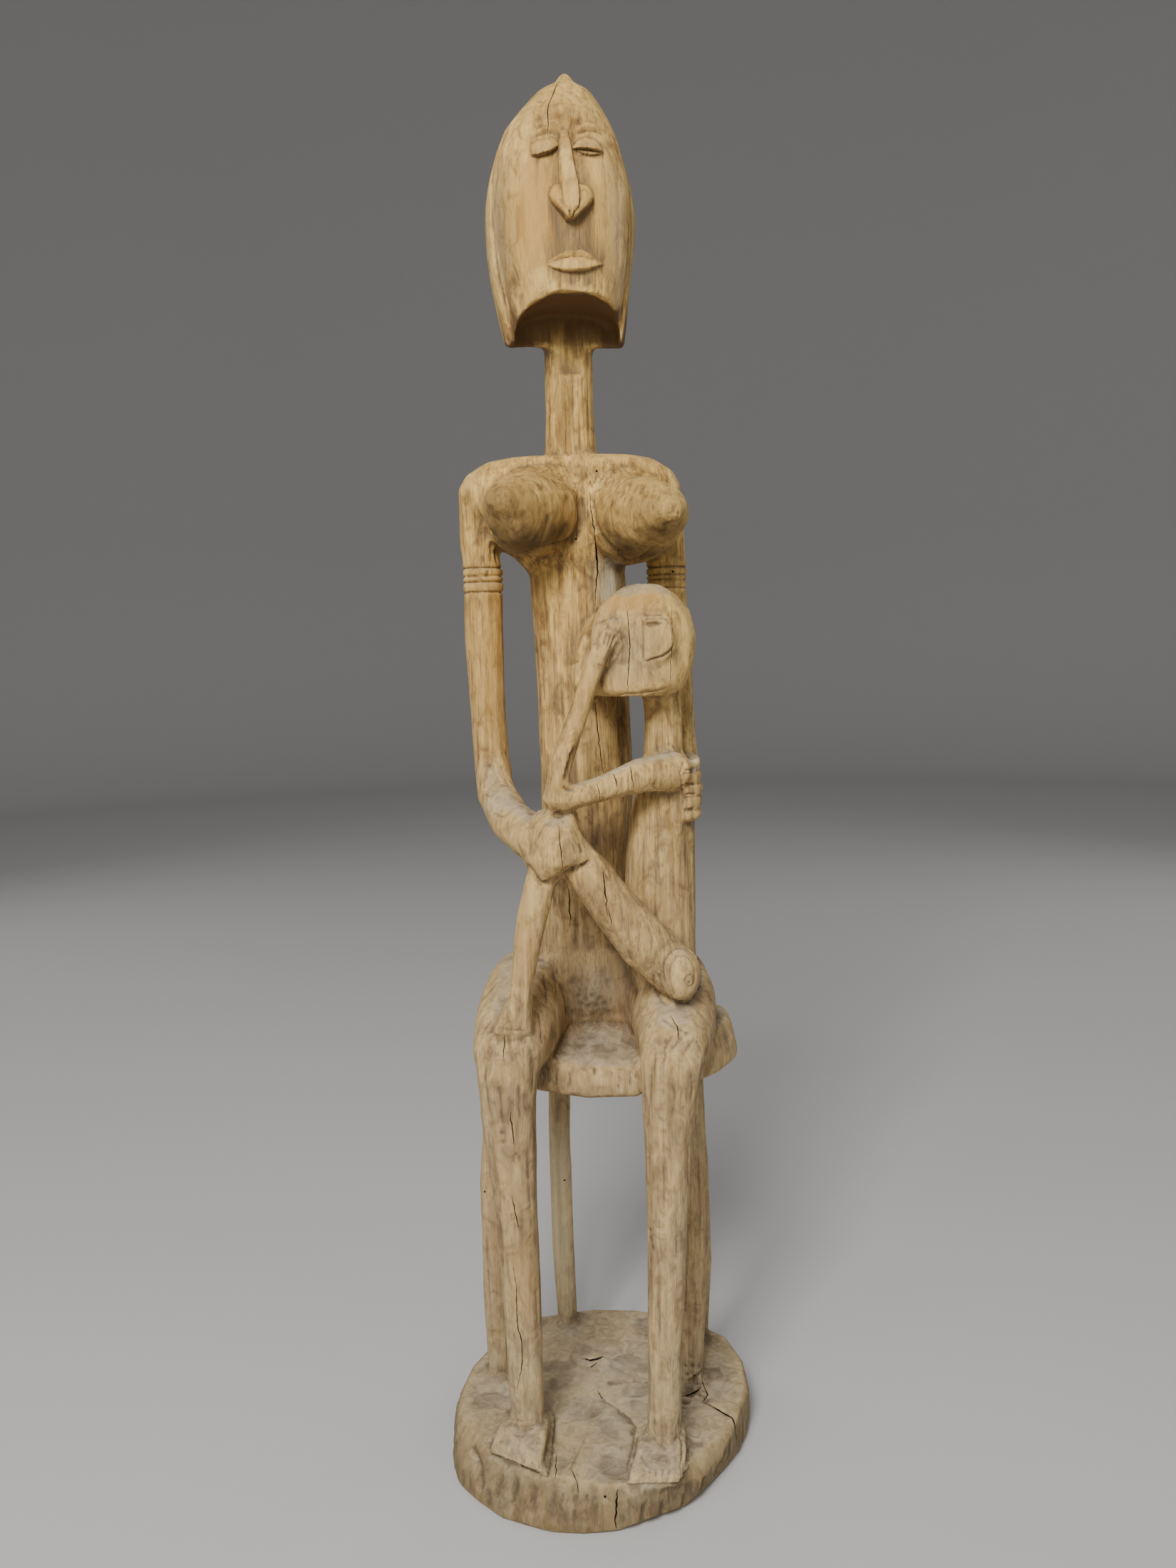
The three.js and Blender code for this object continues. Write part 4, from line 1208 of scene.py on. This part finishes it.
def weathered_wood():
    stuff = bpy.data.materials.new("weathered_wood")
    stuff.use_nodes = True
    tree = stuff.node_tree
    skin = tree.nodes["Principled BSDF"]

    def add(kind, **values):
        made = tree.nodes.new(kind)
        for key, value in values.items():
            setattr(made, key, value)
        return made

    def feed(socket, value):
        if isinstance(value, bpy.types.NodeSocket):
            tree.links.new(value, socket)
        else:
            socket.default_value = value

    def kept(name):
        return add("ShaderNodeAttribute", attribute_name=name, attribute_type="GEOMETRY").outputs["Fac"]

    place = add("ShaderNodeTexCoord").outputs["Object"]

    def stretched(scale):
        made = add("ShaderNodeMapping")
        feed(made.inputs["Vector"], place)
        feed(made.inputs["Scale"], scale)
        return made.outputs["Vector"]

    def noise(scale, detail=3.0, rough=0.5, twist=0.0):
        made = add("ShaderNodeTexNoise")
        for name, value in (
            ("Vector", stretched(scale)), ("Scale", 1), ("Detail", detail), ("Roughness", rough),
            ("Distortion", twist),
        ):
            feed(made.inputs[name], value)
        return made.outputs["Fac"]

    def ranged(value, low, high, to_low=0.0, to_high=1.0):
        made = add("ShaderNodeMapRange")
        for name, number in (
            ("Value", value), ("From Min", low), ("From Max", high), ("To Min", to_low),
            ("To Max", to_high),
        ):
            feed(made.inputs[name], number)
        return made.outputs["Result"]

    def reckon(kind, a, b):
        made = add("ShaderNodeMath", operation=kind)
        feed(made.inputs[0], a)
        feed(made.inputs[1], b)
        return made.outputs["Value"]

    def product(a, b):
        return reckon("MULTIPLY", a, b)

    def mixed(share, a, b, kind="MIX"):
        made = add("ShaderNodeMix", data_type="RGBA", blend_type=kind)
        feed(next(s for s in made.inputs if s.name == "Factor" and s.type == "VALUE"), share)
        feed(next(s for s in made.inputs if s.name == "A" and s.type == "RGBA"), a)
        feed(next(s for s in made.inputs if s.name == "B" and s.type == "RGBA"), b)
        return next(s for s in made.outputs if s.type == "RGBA")

    def times(share, colour, shade):
        return mixed(share, colour, mixed(1.0, colour, (*shade, 1), "MULTIPLY"))

    broad = noise((7, 7, 3.2), 4)
    blotch = noise((26, 26, 9), 5, 0.6)
    mottle = noise((70, 70, 42), 5, 0.62, 1.4)
    streak = noise((150, 150, 7), 4, 0.55, 0.3)
    fleck = noise((290, 290, 26), 3, 0.6, 0.5)
    fibre = noise((620, 620, 24), 3, 0.6, 0.4)
    pores = noise((900, 900, 60), 2, 0.5)
    lively = reckon("SUBTRACT", 1, kept("still"))

    def lines(share):
        return product(share, lively)

    # the bare wood, from pale to warm, with its blotches, streaks and flecks
    colour = mixed(ranged(broad, 0.34, 0.66), (0.43, 0.25, 0.062, 1), (0.57, 0.372, 0.11, 1))
    colour = mixed(ranged(blotch, 0.5, 0.72, 0, 0.6), colour, (0.63, 0.43, 0.15, 1))
    colour = mixed(ranged(blotch, 0.48, 0.26, 0, 0.7), colour, (0.25, 0.135, 0.04, 1))
    for share, shade in (
        (ranged(mottle, 0.5, 0.34, 0, 1), (0.55, 0.47, 0.38)),
        (ranged(mottle, 0.54, 0.7, 0, 0.8), (1.25, 1.25, 1.28)),
        (lines(ranged(streak, 0.5, 0.68, 0, 0.9)), (1.3, 1.28, 1.24)),
        (lines(ranged(streak, 0.5, 0.32, 0, 0.9)), (0.58, 0.52, 0.44)),
        (lines(ranged(fleck, 0.46, 0.34, 0, 1)), (0.48, 0.41, 0.33)),
        (lines(ranged(fleck, 0.53, 0.66, 0, 0.8)), (1.35, 1.33, 1.3)),
    ):
        colour = times(share, colour, shade)
    # growth rings, bands round the log's axis
    rings = add("ShaderNodeTexWave", wave_type="RINGS", rings_direction="Z", wave_profile="SAW")
    for name, value in (
        ("Vector", stretched((1, 1, 0.12))), ("Scale", 46), ("Distortion", 5), ("Detail", 2),
        ("Detail Scale", 1.2),
    ):
        feed(rings.inputs[name], value)
    ring = rings.outputs["Fac"]
    colour = times(ranged(ring, 0.6, 1, 0, 0.3), colour, (0.68, 0.61, 0.5))
    colour = times(lines(ranged(fibre, 0.46, 0.32, 0, 0.85)), colour, (0.5, 0.43, 0.36))
    # what was kept on the surface: stains, grey and pale patches with painted light on the right cheek,
    # wear, dirt and painted shade in hollows, painted shade and shadow, and crack walls painted dark as
    # shade
    grain_grey = mixed(ranged(mottle, 0.35, 0.65), (0.22, 0.183, 0.13, 1), (0.43, 0.362, 0.255, 1))
    grain_grey = times(lines(ranged(streak, 0.5, 0.34, 0, 0.8)), grain_grey, (0.62, 0.58, 0.52))
    grain_pale = mixed(ranged(streak, 0.35, 0.65), (0.45, 0.39, 0.25, 1), (0.6, 0.54, 0.39, 1))
    for share, over in (
        (product(ranged(kept("stain"), 0, 0.6), ranged(blotch, 0.3, 0.65, 0.75, 1)), (0.4, 0.2, 0.03, 1)),
        # brown stains, partly painted shade under the breasts and in the eye slits
        (product(kept("brown_stain_and_shade"), ranged(blotch, 0.35, 0.62, 0.9, 0.4)), (0.15, 0.085, 0.035, 1)),
        (product(kept("grey"), ranged(blotch, 0.28, 0.7, 0.7, 1.05)), grain_grey),
        # pale wood, with painted light on the right cheek
        (product(kept("pale"), 0.9), grain_pale),
        (product(kept("worn"), 0.3), (0.6, 0.41, 0.15, 1)),
    ):
        colour = mixed(share, colour, over)
    # painted shade, and the base's side darkened
    colour = times(kept("painted_shade_and_base_side"), colour, (0.34, 0.315, 0.275))
    # dark brown in the hollows: dirt in the fine cuts and painted shade in the broad ones
    dirt_and_shade = product(kept("hollow"), ranged(fibre, 0.3, 0.6, 1.1, 0.7))
    colour = mixed(product(dirt_and_shade, 0.85), colour, (0.11, 0.072, 0.038, 1))
    # painted shade where the wood hides the sky
    colour = times(ranged(kept("occlusion_shade"), 0.3, 0.95, 0, 0.6), colour, (0.55, 0.51, 0.46))
    # painted shadow under the chin, dark brown
    colour = mixed(kept("painted_chin_shadow"), colour, (0.11, 0.055, 0.015, 1))
    # painted shade: the crack walls near black
    colour = mixed(kept("crack"), colour, (0.03, 0.018, 0.009, 1))
    feed(skin.inputs["Base Color"], colour)
    feed(skin.inputs["Roughness"], ranged(streak, 0.3, 0.7, 0.86, 0.74))
    feed(skin.inputs["Specular IOR Level"], 0.35)
    height = product(streak, 0.55)
    for pattern, share in (
        (fibre, 0.3), (fleck, 0.5), (ranged(pores, 0.42, 0.3), -0.25), (blotch, 0.5), (mottle, 0.6),
        (ring, -0.06),
    ):
        height = reckon("ADD", height, product(pattern, share))
    bump = add("ShaderNodeBump")
    feed(bump.inputs["Strength"], 0.85)
    feed(bump.inputs["Distance"], 0.0011)
    feed(bump.inputs["Height"], height)
    feed(skin.inputs["Normal"], bump.outputs["Normal"])
    return stuff


carving.data.materials.clear()
carving.data.materials.append(weathered_wood())
carving.data.polygons.foreach_set("material_index", np.zeros(len(carving.data.polygons), np.int32))
alone(carving)
bpy.ops.object.shade_smooth_by_angle(angle=math.radians(48))
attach(carving, "root")
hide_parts("maternity_figure")


# The studio: a pale floor that sweeps up into the backdrop, and soft light

def studio():
    bpy.ops.object.select_all(action="DESELECT")
    bpy.ops.mesh.primitive_circle_add(vertices=96, radius=6, fill_type="NGON")
    floor = bpy.context.object
    floor.name = "floor"
    bpy.ops.object.mode_set(mode="EDIT")
    bpy.ops.mesh.select_mode(type="EDGE")
    bpy.ops.mesh.select_all(action="SELECT")
    bpy.ops.mesh.region_to_loop()
    reach, bend, steps, wall = 6.0, 1.6, 12, 4.6
    step_length = 2 * bend * math.sin(math.pi / 4 / steps)
    for step in range(steps):
        turn = (step + 0.5) * math.pi / 2 / steps
        wider = (reach + step_length * math.cos(turn)) / reach
        reach *= wider
        rise = step_length * math.sin(turn)
        bpy.ops.mesh.extrude_region_move(TRANSFORM_OT_translate={"value": (0, 0, rise)})
        bpy.ops.transform.resize(value=(wider, wider, 1), center_override=(0, 0, 0))
    bpy.ops.mesh.extrude_region_move(TRANSFORM_OT_translate={"value": (0, 0, wall)})
    bpy.ops.object.mode_set(mode="OBJECT")
    bpy.ops.object.shade_smooth()
    pale = bpy.data.materials.new("pale_floor")
    pale.use_nodes = True
    skin = pale.node_tree.nodes["Principled BSDF"]
    skin.inputs["Base Color"].default_value = (0.5, 0.49, 0.475, 1)
    skin.inputs["Roughness"].default_value = 0.9
    floor.data.materials.append(pale)
    world = bpy.data.worlds.new("studio")
    world.use_nodes = True
    world.node_tree.nodes["Background"].inputs["Color"].default_value = (0.95, 0.96, 1.0, 1)
    world.node_tree.nodes["Background"].inputs["Strength"].default_value = 0.26
    bpy.context.scene.world = world
    for name, place, size, watts in [
        ("key", (-0.6, -2.25, 2.4), 1.0, 118),
        ("left", (-2.0, -1.9, 1.5), 1.3, 12),
        ("right", (2.2, -1.6, 1.6), 1.3, 9),
        ("low", (0.15, -2.5, 0.45), 1.4, 6),
        ("back_left", (-2.6, 2.2, 1.9), 1.5, 16),
        ("back_right", (2.6, 2.2, 1.9), 1.5, 16),
    ]:
        bpy.ops.object.light_add(type="AREA", location=place)
        lamp = bpy.context.object
        lamp.name = name
        lamp.data.size = size
        lamp.data.energy = watts
        aim = Vector((0, 0, 0.75)) - Vector(place)
        lamp.rotation_euler = aim.to_track_quat("-Z", "Y").to_euler()


look()
studio()
